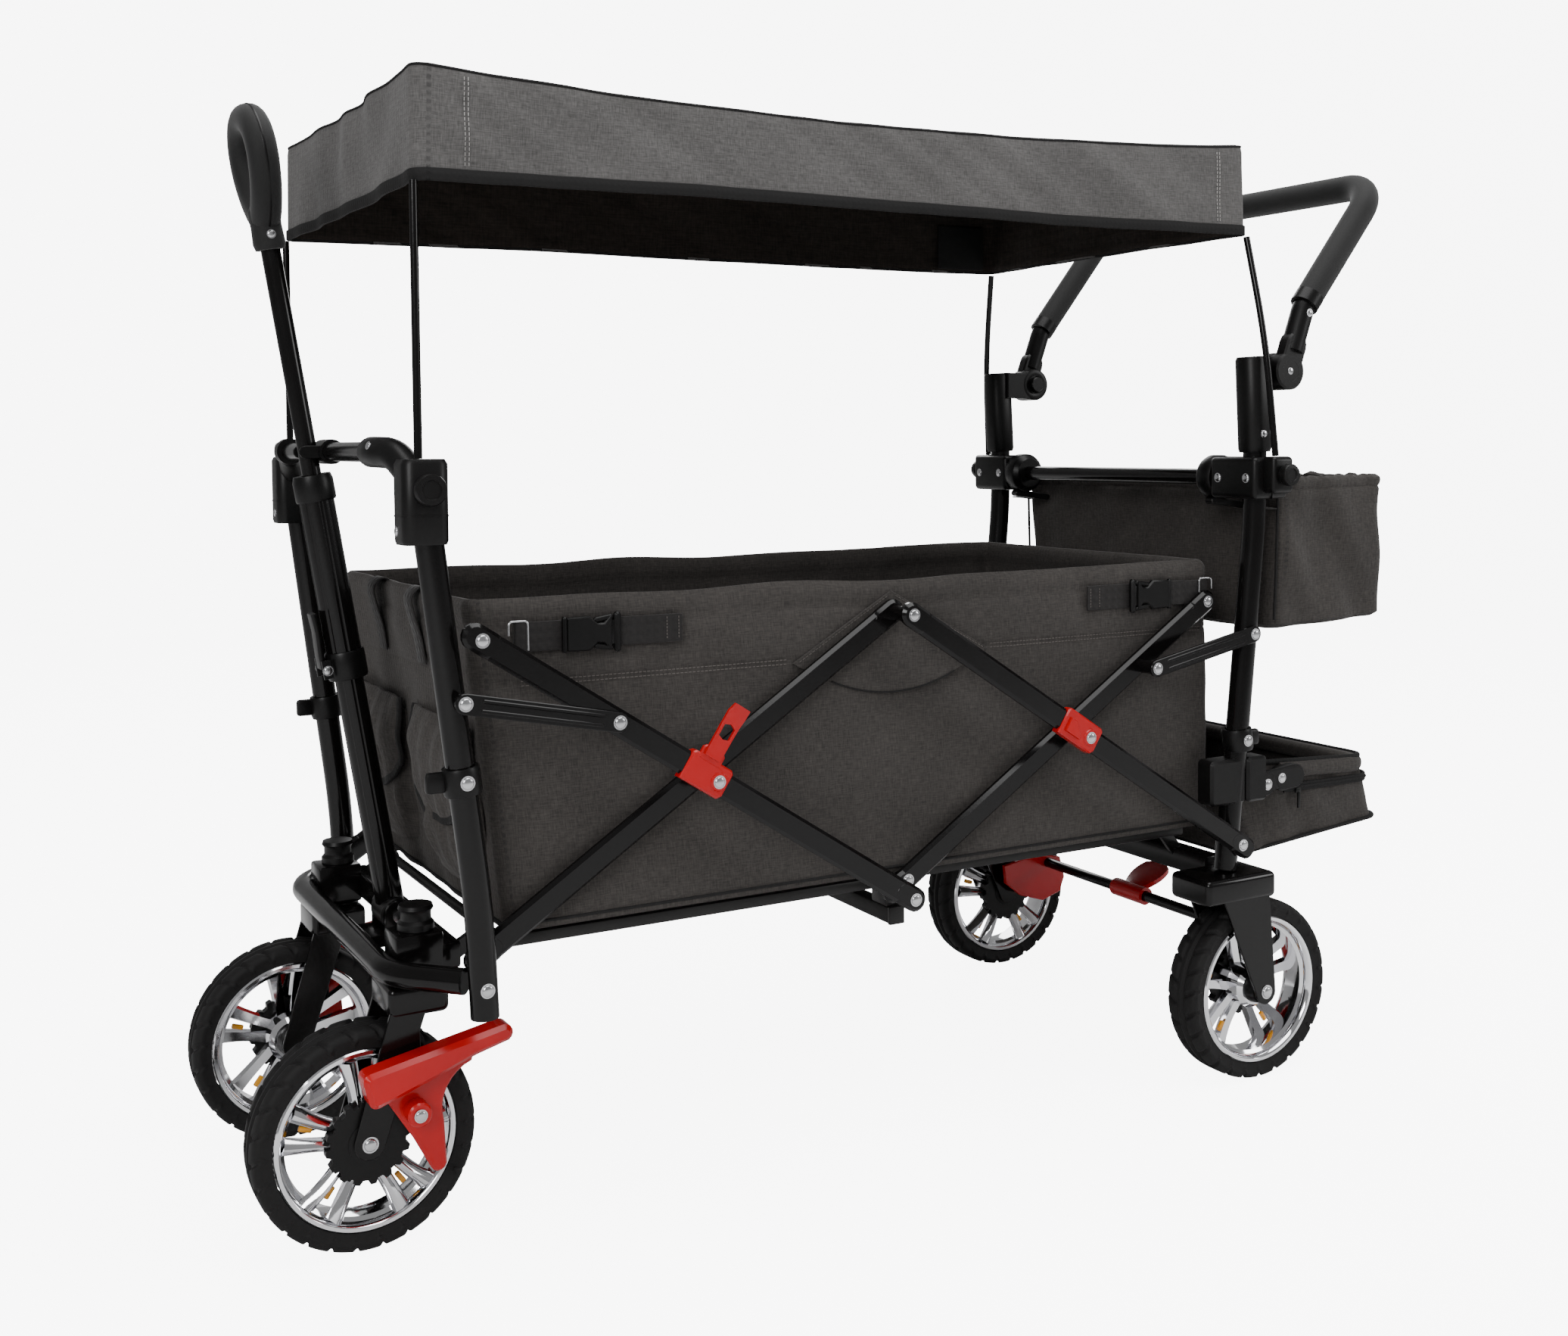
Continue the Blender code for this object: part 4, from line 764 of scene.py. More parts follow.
@dataclass
class Wheels:
    """Tyres with moulded tread on chromed five-spoke rims."""

    shop: Workshop
    radius: float = 0.100
    half_width: float = 0.0225
    blocks: int = 26
    round_steps: int = 408

    def build(self) -> None:
        """Make the four wheels; the toothed ring faces outwards in front and inwards at the rear."""
        for end, x, y in (("front", -0.5137, 0.14), ("rear", 0.4555, 0.236)):
            for name, side in SIDES:
                centre = (x, side * y, 0.100)
                gear = side if end == "front" else -side
                body = f"{end}_wheel_{name}"
                faced = (lambda s: s) if gear < 0 else (lambda s: s.mirrored())
                self.shop.piece(f"{body}_tyre", faced(self.tyre()).moved(centre), TYRE_RUBBER, body,
                                (f"{end}_tyre_{name}",), sharp=math.radians(60))
                self.shop.piece(f"{body}_rim", faced(self.rim()).moved(centre), CHROME_ABS, body,
                                (f"{end}_rim_{name}",))
                self.shop.piece(f"{body}_hub", faced(self.hub()).moved(centre), NYLON_BLACK, body)
                self.shop.piece(f"{body}_reflectors", faced(self.reflectors()).moved(centre), AMBER, body)

    def tyre(self) -> Shape:
        """Return the tyre: a rounded section whose crown and shoulders are cut by slanting grooves.

        The section is a smooth line through the bead, the side wall, the shoulder and the crown. A point sinks
        where its angle, plus a share of its distance from the middle, falls in the gap between two blocks.
        """
        t = np.linspace(-1, 1, 45)
        y = self.half_width * np.sign(t) * (1 - (1 - np.abs(t)) ** 1.9)
        y = np.where(np.abs(t) > 0.86, y * (1 - 1.1 * (np.abs(t) - 0.86)), y)
        r = 0.0818 + (self.radius - 0.0818) * (1 - np.abs(t) ** 3.4) ** 0.55
        angle = np.arange(self.round_steps)[:, None] * TAU / self.round_steps
        slant = np.abs(y) * 26
        phase = (angle * self.blocks / TAU + slant + 0.5 * (y > 0)) % 1.0
        groove = np.clip((0.12 - np.abs(phase - 0.5)) * 26, 0, 1)
        middle = np.clip((0.0022 - np.abs(np.abs(y) - 0.0052)) * 1600, 0, 1)
        reach = np.clip((r - 0.0880) * 400, 0, 1)
        cut = np.maximum(groove * np.clip((np.abs(y) - 0.0048) * 900, 0, 1), middle) * reach * 0.0028
        radius = r - cut
        points = np.stack([radius * np.cos(angle), np.broadcast_to(y, radius.shape), radius * np.sin(angle)], -1)
        return grid(points, round_u=True, round_v=True)

    def rim(self) -> Shape:
        """Return the rim: a deep lipped ring and five pairs of blades that rise to a ridge."""
        half = [(0.0806, 0.0), (0.0806, 0.0170), (0.0813, 0.0190), (0.0800, 0.0203), (0.0768, 0.0203),
                (0.0750, 0.0188), (0.0735, 0.0130), (0.0700, 0.0105), (0.0690, 0.0)]
        ring = lathe(half + [(r, -y) for r, y in reversed(half[1:-1])], (0, 0, 0), ACROSS, 96, ring=True)
        parts = [ring, lathe([(0, -0.0125), (0.0200, -0.0125), (0.0235, -0.0095), (0.0235, 0.0080), (0.0190, 0.0130),
                              (0, 0.0130)], (0, 0, 0), ACROSS, 48)]
        for index in range(5):
            for lean in (-1, 1):
                parts.append(self.blade(math.radians(90 + 72 * index), lean))
        return joined(parts)

    @staticmethod
    def blade(heading: float, lean: int) -> Shape:
        """Return one blade: it leaves the hub beside its twin, spreads, and widens where it meets the ring."""
        t = np.linspace(0, 1, 10)
        out = 0.0180 + 0.0535 * t
        off = lean * (0.0070 + 0.0080 * t ** 1.5)
        depth = -0.0125 - 0.0035 * np.sin(t * math.pi * 0.8)
        width = 0.0056 + 0.0030 * t ** 2 + 0.0012 * (1 - t) ** 2
        section = np.array([(-1, 0.0), (-0.55, -1.0), (0.0, -1.45), (0.55, -1.0), (1, 0.0), (0.7, 1.2), (-0.7, 1.2)])
        radial = np.array([math.cos(heading), 0, math.sin(heading)])
        across = np.array([-math.sin(heading), 0, math.cos(heading)])
        side = section[None, :, :1] * width[:, None, None] + off[:, None, None]
        lift = depth[:, None, None] + section[None, :, 1:] * 0.0050
        points = out[:, None, None] * radial + side * across + lift * np.array([0, 1.0, 0])
        return grid(points, round_v=True, caps=True)

    def hub(self) -> Shape:
        """Return the black hub: a toothed ring and a stepped cap on one side, a plain bush on the other."""
        count, steps = 16, 192
        angle = np.arange(steps) * TAU / steps
        tooth = 0.0335 + 0.0042 * np.clip(np.sin(angle * count) * 3 + 0.5, 0, 1)
        levels = [(-0.0246, 0.0), (-0.0246, 1.0), (-0.0150, 1.0), (-0.0150, 0.0)]
        rows = [np.stack([np.cos(angle) * tooth * k, np.full(steps, y), np.sin(angle) * tooth * k], 1)
                for y, k in levels]
        ring = grid(np.stack(rows), round_v=True)
        cap = lathe([(0.0055, -0.0150), (0.0180, -0.0150), (0.0180, -0.0252), (0.0135, -0.0260), (0.0055, -0.0260)],
                    (0, 0, 0), ACROSS, 40, ring=True)
        bush = lathe([(0.0058, 0.0120), (0.0165, 0.0120), (0.0140, 0.0246), (0.0058, 0.0246)], (0, 0, 0), ACROSS, 36,
                     ring=True)
        return joined([ring, cap, bush])

    @staticmethod
    def reflectors() -> Shape:
        """Return three reflectors that sit between the blades of a pair."""
        parts = []
        for index in (1, 2, 3):
            parts.append(block((0.0120, 0.0040, 0.0050), (0.0540, -0.0080, 0), 0.0012).turned((0, 0, 0), "Y",
                                                                                          -(90 + 72 * index)))
        return joined(parts)


@dataclass
class Scissors:
    """Crossing side bars, their links, saddles, hooks and the folding floor."""

    shop: Workshop
    span: float = 0.428
    angle: float = math.radians(33)
    low: float = 0.265
    width: float = 0.023
    outer: tuple = (-0.2584, -0.2484)
    inner: tuple = (-0.2226, -0.2126)

    def __post_init__(self) -> None:
        """Work out the pivots from the span and the angle."""
        self.half = self.span / 2 / math.cos(self.angle)
        self.mid = self.low + self.half * math.sin(self.angle)
        self.top = self.low + 2 * self.half * math.sin(self.angle)

    def along(self, pivot: Sequence[float], distance: float, rising: bool, across: float = 0.0) -> tuple:
        """Return the (x, z) place at a distance along a bar and a height square to it."""
        slope = self.angle if rising else -self.angle
        return (pivot[0] + distance * math.cos(slope) - across * math.sin(slope),
                pivot[1] + distance * math.sin(slope) + across * math.cos(slope))

    def bar(self, start: Sequence[float], end: Sequence[float], layer: tuple) -> Shape:
        """Return a flat-oval bar with round ends and eased faces, a moulded cap over each end."""
        steel = plate(strip(start, end, self.width), *layer, 0.0032)
        flat = unit(np.subtract(end, start))
        caps = []
        for tip, way in ((start, 1.0), (end, -1.0)):
            inner_end = np.asarray(tip) + flat * way * 0.016
            caps.append(plate(strip(tip, inner_end, self.width + 0.0006), layer[0] - 0.0002, layer[1] + 0.0002, 0.0030))
        return joined([steel, *caps])

    def build(self) -> None:
        """Make the bars of both sides and everything on them."""
        cross_f, cross_r = (-self.span / 2, self.mid), (self.span / 2, self.mid)
        low_f, low_m, low_r, top = (-self.span, self.low), (0.0, self.low), (self.span, self.low), (0.0, self.top)
        bars = {"a": (self.along(cross_f, -0.2685, False), self.along(low_m, 0.001, False), self.outer),
                "b": (self.along(low_f, -0.0025, True), self.along(top, 0.001, True), self.inner),
                "c": (self.along(top, -0.001, False), self.along(low_r, 0.0085, False), self.outer),
                "d": (self.along(low_m, -0.001, True), self.along(cross_r, 0.2335, True), self.inner)}
        bushes = {"b": (cross_f, top), "d": (low_m, cross_r)}
        for letter, (start, end, layer) in bars.items():
            parts = [self.bar(start, end, layer)]
            for x, z in bushes.get(letter, ()):
                parts.append(lathe([(0, 0), (0.008, 0), (0.008, 0.0256), (0, 0.0256)], (x, -0.2224, z), OUT, 24))
            self.shop.piece(f"side_bars_{letter}", both_sides(*parts), POWDER_BLACK, f"bars_{letter}",
                            pair(f"scissor_bar_{letter}"))
        self.rivets(cross_f, cross_r, low_m, low_r, top)
        self.saddles(cross_f, cross_r)
        self.links(cross_f, cross_r)
        self.floor()

    def rivets(self, cross_f: tuple, cross_r: tuple, low_m: tuple, low_r: tuple, top: tuple) -> None:
        """Make the zinc heads at the pivots."""
        face = self.outer[0] + 0.0002
        sets = {"bars_a": [(self.along(cross_f, -0.262, False), face), (low_m, face)],
                "bars_c": [(top, face), (low_r, face)],
                "bars_d": [(self.along(low_m, 0.017, True), self.inner[0]),
                           (self.along(cross_r, 0.2330, True), self.inner[0])]}
        for body, places in sets.items():
            heads = [rivet((x, y, z), OUT) for (x, z), y in places]
            self.shop.piece(f"{body}_rivets", both_sides(*heads), ZINC_STEEL, body)

    def saddles(self, cross_f: tuple, cross_r: tuple) -> None:
        """Make the red saddles over the crossing pivots, the hooks and their rivets."""
        y0, y1 = -0.2606, -0.2480
        for pivot, body in ((cross_f, "bars_a"), (cross_r, "bars_c")):
            ends = (-0.0375, 0.0100) if body == "bars_a" else (-0.0400, 0.0120)
            corners = [(ends[0], -0.0145), (ends[1] - 0.004, -0.0145), (ends[1], -0.010), (ends[1], 0.0120),
                       (ends[1] - 0.003, 0.0148), (ends[0] + 0.003, 0.0148), (ends[0], 0.0120)]
            rim = [self.along(pivot, u, False, n) for u, n in corners]
            parts = [plate(rim, y0, y1, 0.0016)]
            boss = self.along(pivot, 0.0, False)
            parts.append(lathe([(0.0088, 0), (0.0080, 0.0012), (0, 0.0012)], (boss[0], y0, boss[1]), OUT, 28))
            if body == "bars_c":
                notch = ((-0.034, -0.009), (-0.014, -0.009), (-0.014, -0.005), (-0.026, 0.006), (-0.034, 0.006))
                catch = [self.along(pivot, u, False, n) for u, n in notch]
                parts.append(plate(catch, y0 - 0.0026, y0 + 0.001, 0.0008))
            else:
                ear = [self.along(pivot, u, False, n) for u, n in ((-0.031, 0.010), (-0.006, 0.010), (-0.006, 0.021),
                                                               (-0.009, 0.024), (-0.028, 0.024), (-0.031, 0.021))]
                parts.append(plate(ear, y0 - 0.0004, y0 + 0.0040, 0.0010))
            self.shop.piece(f"{body}_saddles", both_sides(*parts), RED_GLOSS, body)
            head = rivet((boss[0], y0 - 0.0010, boss[1]), OUT, 0.0050, 0.0022)
            self.shop.piece(f"{body}_saddle_rivets", both_sides(head), ZINC_STEEL, body)
        base = self.along(cross_f, -0.019, False)
        for name, side in SIDES:
            hook = self.hook(base)
            self.shop.piece(f"lock_hook_{name}", hook if side < 0 else hook.mirrored(), RED_GLOSS,
                            f"fold_lock_hook_{name}", (f"fold_lock_hook_{name}",))

    def hook(self, base: Sequence[float]) -> Shape:
        """Return the near hook: a thin lever round a window, its tip curled outwards."""
        heights = np.array([0.0150, 0.024, 0.034, 0.0360, 0.047, 0.0495, 0.060, 0.068])
        halves = np.array([0.0085, 0.0090, 0.0090, 0.0090, 0.0092, 0.0092, 0.0098, 0.0085])
        hollow = np.array([0, 0, 0, 0.0060, 0.0060, 0, 0, 0])
        out = -0.2605 - np.array([0, 0, 0.0005, 0.0005, 0.0010, 0.0012, 0.0028, 0.0060])
        parts = []
        for sign in (-1, 1):
            rows = []
            for n, half, gap, y in zip(heights, halves, hollow, out):
                ring = [(sign * gap, y), (sign * half, y), (sign * half, y - 0.0030), (sign * gap, y - 0.0030)]
                places = [(self.along(base, u, False, n), out_y) for u, out_y in ring]
                rows.append([(x, out_y, z) for (x, z), out_y in places])
            parts.append(grid(np.array(rows), round_v=True, caps=True))
        return joined(parts)

    def links(self, cross_f: tuple, cross_r: tuple) -> None:
        """Make the pressed links: a flat strip with two long ribs."""
        for end, pivot, post, rising, reach, y in (("front", cross_f, (-0.4508, 0.495), False, -0.116, -0.263),
                                                   ("rear", cross_r, (0.4508, 0.495), True, 0.116, -0.2526)):
            far = self.along(pivot, reach, rising)
            steel = plate(strip(post, far, 0.018), y, y + 0.004, 0.0007)
            way = unit(np.subtract(far, post))
            square = np.array([-way[1], way[0]])
            ribs = []
            for shift in (-0.0042, 0.0042):
                a, b = np.asarray(post) + way * 0.016 + square * shift, np.asarray(far) - way * 0.016 + square * shift
                ribs.append(plate(strip(a, b, 0.0034), y - 0.0009, y + 0.001, 0.0007))
            boss_at, y_in = (post, -0.2484) if end == "front" else (far, -0.2230)
            boss = lathe([(0, 0), (0.007, 0), (0.007, y_in - y - 0.002), (0, y_in - y - 0.002)],
                         (boss_at[0], y_in, boss_at[1]), OUT, 20)
            self.shop.piece(f"{end}_link_strips", both_sides(steel, *ribs, boss), POWDER_BLACK, f"{end}_links",
                            pair(f"{end}_link"))
            heads = [rivet((p[0], y, p[1]), OUT) for p in (post, far)]
            self.shop.piece(f"{end}_link_rivets", both_sides(*heads), ZINC_STEEL, f"{end}_links")

    def floor(self) -> None:
        """Make the centre tube with its saddle blocks and the two folding floor frames."""
        blocks = both_sides(block((0.017, 0.03, 0.020), (0.008, -0.191, 0.2552), 0.002),
                                    block((0.0176, 0.004, 0.0176), (0.008, -0.2097, 0.237), 0.0008))
        self.shop.piece("centre_tube", [block((0.017, 0.4228, 0.017), (0.008, 0, 0.237), 0.0022), blocks], POWDER_MATT,
                        "bars_a", ("floor_cross_tube",))
        for end, sign, y in (("front", -1, 0.199), ("rear", 1, 0.183)):
            bar = block((0.3990, 0.0118, 0.0108), (sign * 0.20575, -y, 0.271), 0.0018)
            rod = lathe([(0, -y), (0.005, -y), (0.005, y), (0, y)], (sign * 0.4, 0, 0.271), ACROSS, 20)
            self.shop.piece(f"floor_bars_{end}", [both_sides(bar), rod], POWDER_MATT, f"floor_{end}",
                            (f"floor_frame_{end}",))


@dataclass
class RearFrame:
    """Rear axle frame, crossbar with hubs and pole sockets, poles and brake bar."""

    shop: Workshop
    axle: tuple = (0.4555, 0.100)

    def build(self) -> None:
        """Make the rear frame's pieces."""
        near = [block((0.100, 0.061, 0.0285), (0.4195, -0.2365, 0.2188), 0.006, 5),
                plate(strip((0.429, 0.234), (0.400, 0.271), 0.015), -0.156, -0.150, 0.0006)]
        for y in (-0.26425, -0.20775):
            rim = np.concatenate([arc(self.axle, 0.0140, 190, 370, 12), [(0.4600, 0.2120), (0.3920, 0.2120)]])
            near.append(plate(rim, y - 0.00175, y + 0.00175, 0.0007))
        near.append(plate(strip((0.4555, 0.110), (0.508, 0.138), 0.020), -0.2092, -0.2063, 0.0004))
        self.shop.piece("rear_axle_weldment", [block((0.025, 0.416, 0.0253), (0.432, 0, 0.2298), 0.003),
                                               both_sides(*near)], POWDER_BLACK, "rear_frame",
                        ("rear_axle_frame",))
        bolts = [rivet((self.axle[0], -0.266, self.axle[1]), OUT, 0.0062, 0.0040),
                 rivet((0.4780, -0.2620, 0.6750), OUT, 0.0035, 0.0016)]
        bolts += [rivet((0.4405, -y, 0.6665), (-1, 0, 0), 0.0042, 0.0018) for y in (0.205, 0.248)]
        self.shop.piece("rear_frame_bolts", both_sides(*bolts), ZINC_STEEL, "rear_frame")
        bar = lathe([(0, -0.168), (0.009, -0.168), (0.009, 0.168), (0, 0.168)], (0.4632, 0, 0.6664), ACROSS, 28)
        self.shop.piece("rear_crossbar_tube", bar, POWDER_BLACK, "rear_frame", ("rear_crossbar",))
        hub = lathe([(0.009, 0), (0.0185, 0), (0.0200, 0.002), (0.0235, 0.004), (0.0250, 0.007), (0.0250, 0.020),
                     (0.0225, 0.0240), (0, 0.024)], (0.4632, -0.167, 0.6664), OUT, 44)
        clamp = block((0.051, 0.0705, 0.046), (0.466, -0.2265, 0.6665), 0.006, 5)
        socket = block((0.030, 0.020, 0.040), (0.4675, -0.268, 0.670), 0.005, 5)
        split = block((0.0004, 0.071, 0.0466), (0.4660, -0.2268, 0.6665), 0.0001, 2)
        lever = plate(strip((0.452, 0.640), (0.500, 0.634), 0.008), -0.188, -0.176, 0.001)
        self.shop.piece("rear_hubs", both_sides(hub, clamp, socket, split, lever), NYLON_BLACK, "rear_frame")
        pole = smooth_path([(0.4675, -0.265, 0.6904), (0.4592, -0.2585, 0.815), (0.4525, -0.2360, 0.9303)], 0.09, 9)
        self.shop.piece("rear_canopy_poles", both_sides(sweep(pole, circle(0.0036, 14), (0.97, 0, 0.06))), POWDER_BLACK,
                        "rear_frame", pair("canopy_pole_rear"))
        self.brake()

    def brake(self) -> None:
        """Make the brake bar: a steel rod, a red foot paddle and a red plate beside each wheel."""
        x, z = 0.508, 0.138
        rod = lathe([(0, -0.2050), (0.0065, -0.2050), (0.0065, 0.2050), (0, 0.2050)], (x, 0, z), ACROSS, 20)
        self.shop.piece("brake_rod", rod, POWDER_BLACK, "rear_brake_bar", ("rear_brake_bar",))
        rim = [(0.4360, 0.1420), (0.4385, 0.1180), (0.4620, 0.0990), (0.5000, 0.0870), (0.5290, 0.0960),
               (0.5365, 0.1150), (0.5290, 0.1430), (0.5060, 0.1480), (0.4700, 0.1480)]
        plates = both_sides(plate(rim, -0.1945, -0.1885, 0.0010))
        sleeve = lathe([(0.0068, -0.008), (0.0110, -0.008), (0.0110, 0.048), (0.0068, 0.048)], (x, 0, z), ACROSS, 28,
                       ring=True)
        u, v = np.meshgrid(np.linspace(0, 1, 9), np.linspace(-1, 1, 9), indexing="ij")
        spread = 0.0210 * (0.62 + 0.55 * np.sin(u * math.pi * 0.75))
        top = np.stack([x + 0.050 * u * (1 - 0.12 * v ** 2), 0.020 + v * spread,
                        z + 0.009 + 0.021 * u - 0.002 * v ** 2], -1)
        under = top - [0, 0, 0.006]
        paddle = joined([grid(top), grid(under[:, ::-1]), self.rim_between(top, under)])
        self.shop.piece("brake_paddle", [plates, sleeve, paddle], RED_GLOSS, "rear_brake_bar")

    @staticmethod
    def rim_between(top: Array, under: Array) -> Shape:
        """Return the wall that joins the edges of two grids of the same size."""
        loops = [np.concatenate([a[:-1, 0], a[-1, :-1], a[:0:-1, -1], a[0, :0:-1]]) for a in (top, under)]
        return grid(np.stack(loops), round_v=True)


# ---- handles --------------------------------------------------------------------------------------------------
@dataclass
class PushHandle:
    """U-shaped handle in a foam sleeve on two knuckles with release buttons."""

    shop: Workshop
    pivot: tuple = (0.5098, 0.7843)
    bend: tuple = (0.5369, 0.8572)
    end: tuple = (0.6539, 1.0015)
    y: float = 0.238
    corner: float = 0.045

    def build(self) -> None:
        """Make the handle and its buttons."""
        along = unit(np.array([self.end[0] - self.bend[0], 0, self.end[1] - self.bend[1]]))
        end = np.array([self.end[0], 0, self.end[1]])
        start = np.array([self.bend[0], 0, self.bend[1]]) + along * 0.006
        turn = np.linspace(0, math.pi / 2, 10)[:, None]
        bow = end - along * self.corner * (1 - np.sin(turn)) - [0, 1, 0] * (self.y - self.corner * (1 - np.cos(turn)))
        half = np.concatenate([[start - [0, self.y, 0]], bow])
        loop = np.concatenate([half, (half * [1, -1, 1])[::-1]])
        normal = np.cross(along, [0, 1, 0])
        foam = sweep(loop, circle(0.0155, 32), normal)
        x, z = self.pivot
        stem = unit(np.array([self.bend[0] - x, self.bend[1] - z]))
        neck = smooth_path([(x + stem[0] * 0.024, -self.y, z + stem[1] * 0.024), (self.bend[0], -self.y, self.bend[1]),
                            tuple(start + along * 0.012 - [0, self.y, 0])], 0.012)
        disc = lathe([(0, 0), (0.0205, 0), (0.0210, 0.0006), (0.0210, 0.0140), (0.0190, 0.0157), (0.0120, 0.0157),
                      (0.0110, 0.0148), (0, 0.0148)], (x, -0.2303, z), OUT, 44)
        tab = plate(strip((x, z), (x + stem[0] * 0.031, z + stem[1] * 0.031), 0.030), -0.2458, -0.2304, 0.002)
        cup = lathe([(0.0128, 0), (0.0158, 0.001), (0.0158, 0.016), (0.0128, 0.017)],
                    (start[0] - along[0] * 0.006, -self.y, start[2] - along[2] * 0.006), along, 32, ring=True)
        self.shop.piece("push_handle_sleeve", foam, FOAM_BLACK, "push_handle", ("push_handle",))
        self.shop.piece("push_handle_knuckles", both_sides(sweep(neck, circle(0.0125, 28), ACROSS), disc, tab,
                                                                  cup), NYLON_BLACK, "push_handle")
        screws = joined([rivet((x, -0.2452, z), OUT, 0.0042, 0.0020),
                         rivet((self.bend[0] - 0.003, -self.y - 0.0122, self.bend[1] - 0.008), OUT, 0.0035, 0.0016)])
        self.shop.piece("push_handle_screws", both_sides(screws), ZINC_STEEL, "push_handle")
        for name, side in SIDES:
            button = lathe([(0, 0.008), (0.0100, 0.008), (0.0100, 0.0010), (0.0090, 0), (0, 0)], (x, side * 0.2085, z),
                           (0, side, 0), 32)
            self.shop.piece(f"release_button_{name}", button, NYLON_BLACK, f"push_handle_button_{name}",
                            (f"push_handle_button_{name}",))


@dataclass
class PullHandle:
    """Leaning telescopic pull handle with a looped grip."""

    shop: Workshop
    pivot: tuple = (-0.4440, 0.2567)
    lean: float = math.radians(9.1)

    def __post_init__(self) -> None:
        """Work out the tube's direction and the square to it."""
        self.up = np.array([-math.sin(self.lean), 0, math.cos(self.lean)])
        self.ahead = np.array([-math.cos(self.lean), 0, -math.sin(self.lean)])
        self.foot = np.array([self.pivot[0], 0, self.pivot[1]])

    def at(self, distance: float, y: float = 0.0, ahead: float = 0.0) -> Array:
        """Return the place at a distance up the tube."""
        return self.foot + self.up * distance + self.ahead * ahead + np.array([0, y, 0])

    def build(self) -> None:
        """Make the lower tube, its collars, the upper tube, the grip and the lever."""
        angle = np.arange(96) * TAU / 96
        flute = 1 - 0.055 * np.clip(np.cos(angle * 8) * 4 - 2.6, 0, 1)
        section = np.stack([np.cos(angle) * flute, np.sin(angle) * flute], 1)
        low = sweep(np.array([self.at(0.010), self.at(0.252)]), section * 0.0135, ACROSS)
        mid = sweep(np.array([self.at(0.250), self.at(0.4320)]), section * 0.0165, ACROSS)
        self.shop.piece("pull_handle_fluted_tube", [low, mid], POWDER_BLACK, "pull_handle", ("pull_handle_outer_tube",))
        eye = lathe([(0.0047, -0.0198), (0.0140, -0.0198), (0.0155, -0.0180), (0.0155, 0.0180), (0.0140, 0.0198),
                     (0.0047, 0.0198)], self.foot, ACROSS, 36, ring=True)
        collars = [lathe([(0.0137, 0), (0.0180, 0), (0.0190, 0.002), (0.0190, 0.025), (0.0180, 0.027), (0.0137, 0.027)],
                         self.at(0.235), self.up, 40, ring=True),
                   lathe([(0.0105, 0.0), (0.0182, 0.0), (0.0190, 0.002), (0.0190, 0.019), (0.0175, 0.025),
                          (0.0105, 0.025)],
                         self.at(0.408), self.up, 40, ring=True)]
        ears = both_sides(plate([tuple(self.at(s, ahead=a)[[0, 2]]) for s, a in ((0.240, 0.017), (0.240, 0.026),
                                                                                (0.258, 0.026), (0.258, 0.017))],
                                -0.0150, -0.0115, 0.0006))
        self.shop.piece("pull_handle_mouldings", [eye, *collars, ears], NYLON_BLACK, "pull_handle")
        screw = rivet(self.at(0.248, -0.0150, 0.0215), OUT, 0.0040, 0.0018)
        self.shop.piece("pull_handle_lever_screws", both_sides(screw), ZINC_STEEL, "pull_handle")
        upper = sweep(np.array([self.at(0.393), self.at(0.655)]), circle(0.009, 28), ACROSS)
        self.shop.piece("pull_handle_inner_tube", upper, POWDER_BLACK, "pull_handle_slide", ("pull_handle_upper",))
        self.grip()
        bends = ((0.2492, 0.0235), (0.262, 0.0238), (0.285, 0.0228), (0.303, 0.0240))
        lever = sweep(np.array([self.at(s, ahead=a) for s, a in bends]), rounded(0.0052, 0.0195, 0.0022), ACROSS)
        self.shop.piece("clamp_lever_moulding", lever, NYLON_BLACK, "pull_handle_lever", ("pull_handle_lever",))

    def grip(self) -> None:
        """Make the loop: its line is a circle drawn to a point at the neck, its section an oval."""
        t = np.linspace(0, TAU, 73)[:-1]
        across = 0.0455 * np.sin(t) * np.sin(t / 2) ** 0.62
        height = 0.6760 + 0.0455 + 0.0460 * -np.cos(t)
        loop = np.stack([self.at(h, y) for h, y in zip(height, across)])
        body = sweep(loop, rounded(0.0285, 0.0275, 0.0125, 6), self.ahead, closed=True)
        neck = lathe([(0.0092, 0), (0.0135, 0.0005), (0.0150, 0.006), (0.0142, 0.022), (0.0150, 0.036),
                      (0.0092, 0.045)],
                     self.at(0.6465), self.up, 40, ring=True)
        self.shop.piece("pull_grip_loop", [body, neck], FOAM_BLACK, "pull_handle_slide")
        seam = sweep(loop, rounded(0.0292, 0.0030, 0.0012, 3), self.ahead, closed=True)
        self.shop.piece("pull_grip_seam", seam, NYLON_BLACK, "pull_handle_slide")
        self.shop.piece("pull_grip_screw", rivet(self.at(0.660, -0.0148), OUT, 0.0034, 0.0014), ZINC_STEEL,
                        "pull_handle_slide")


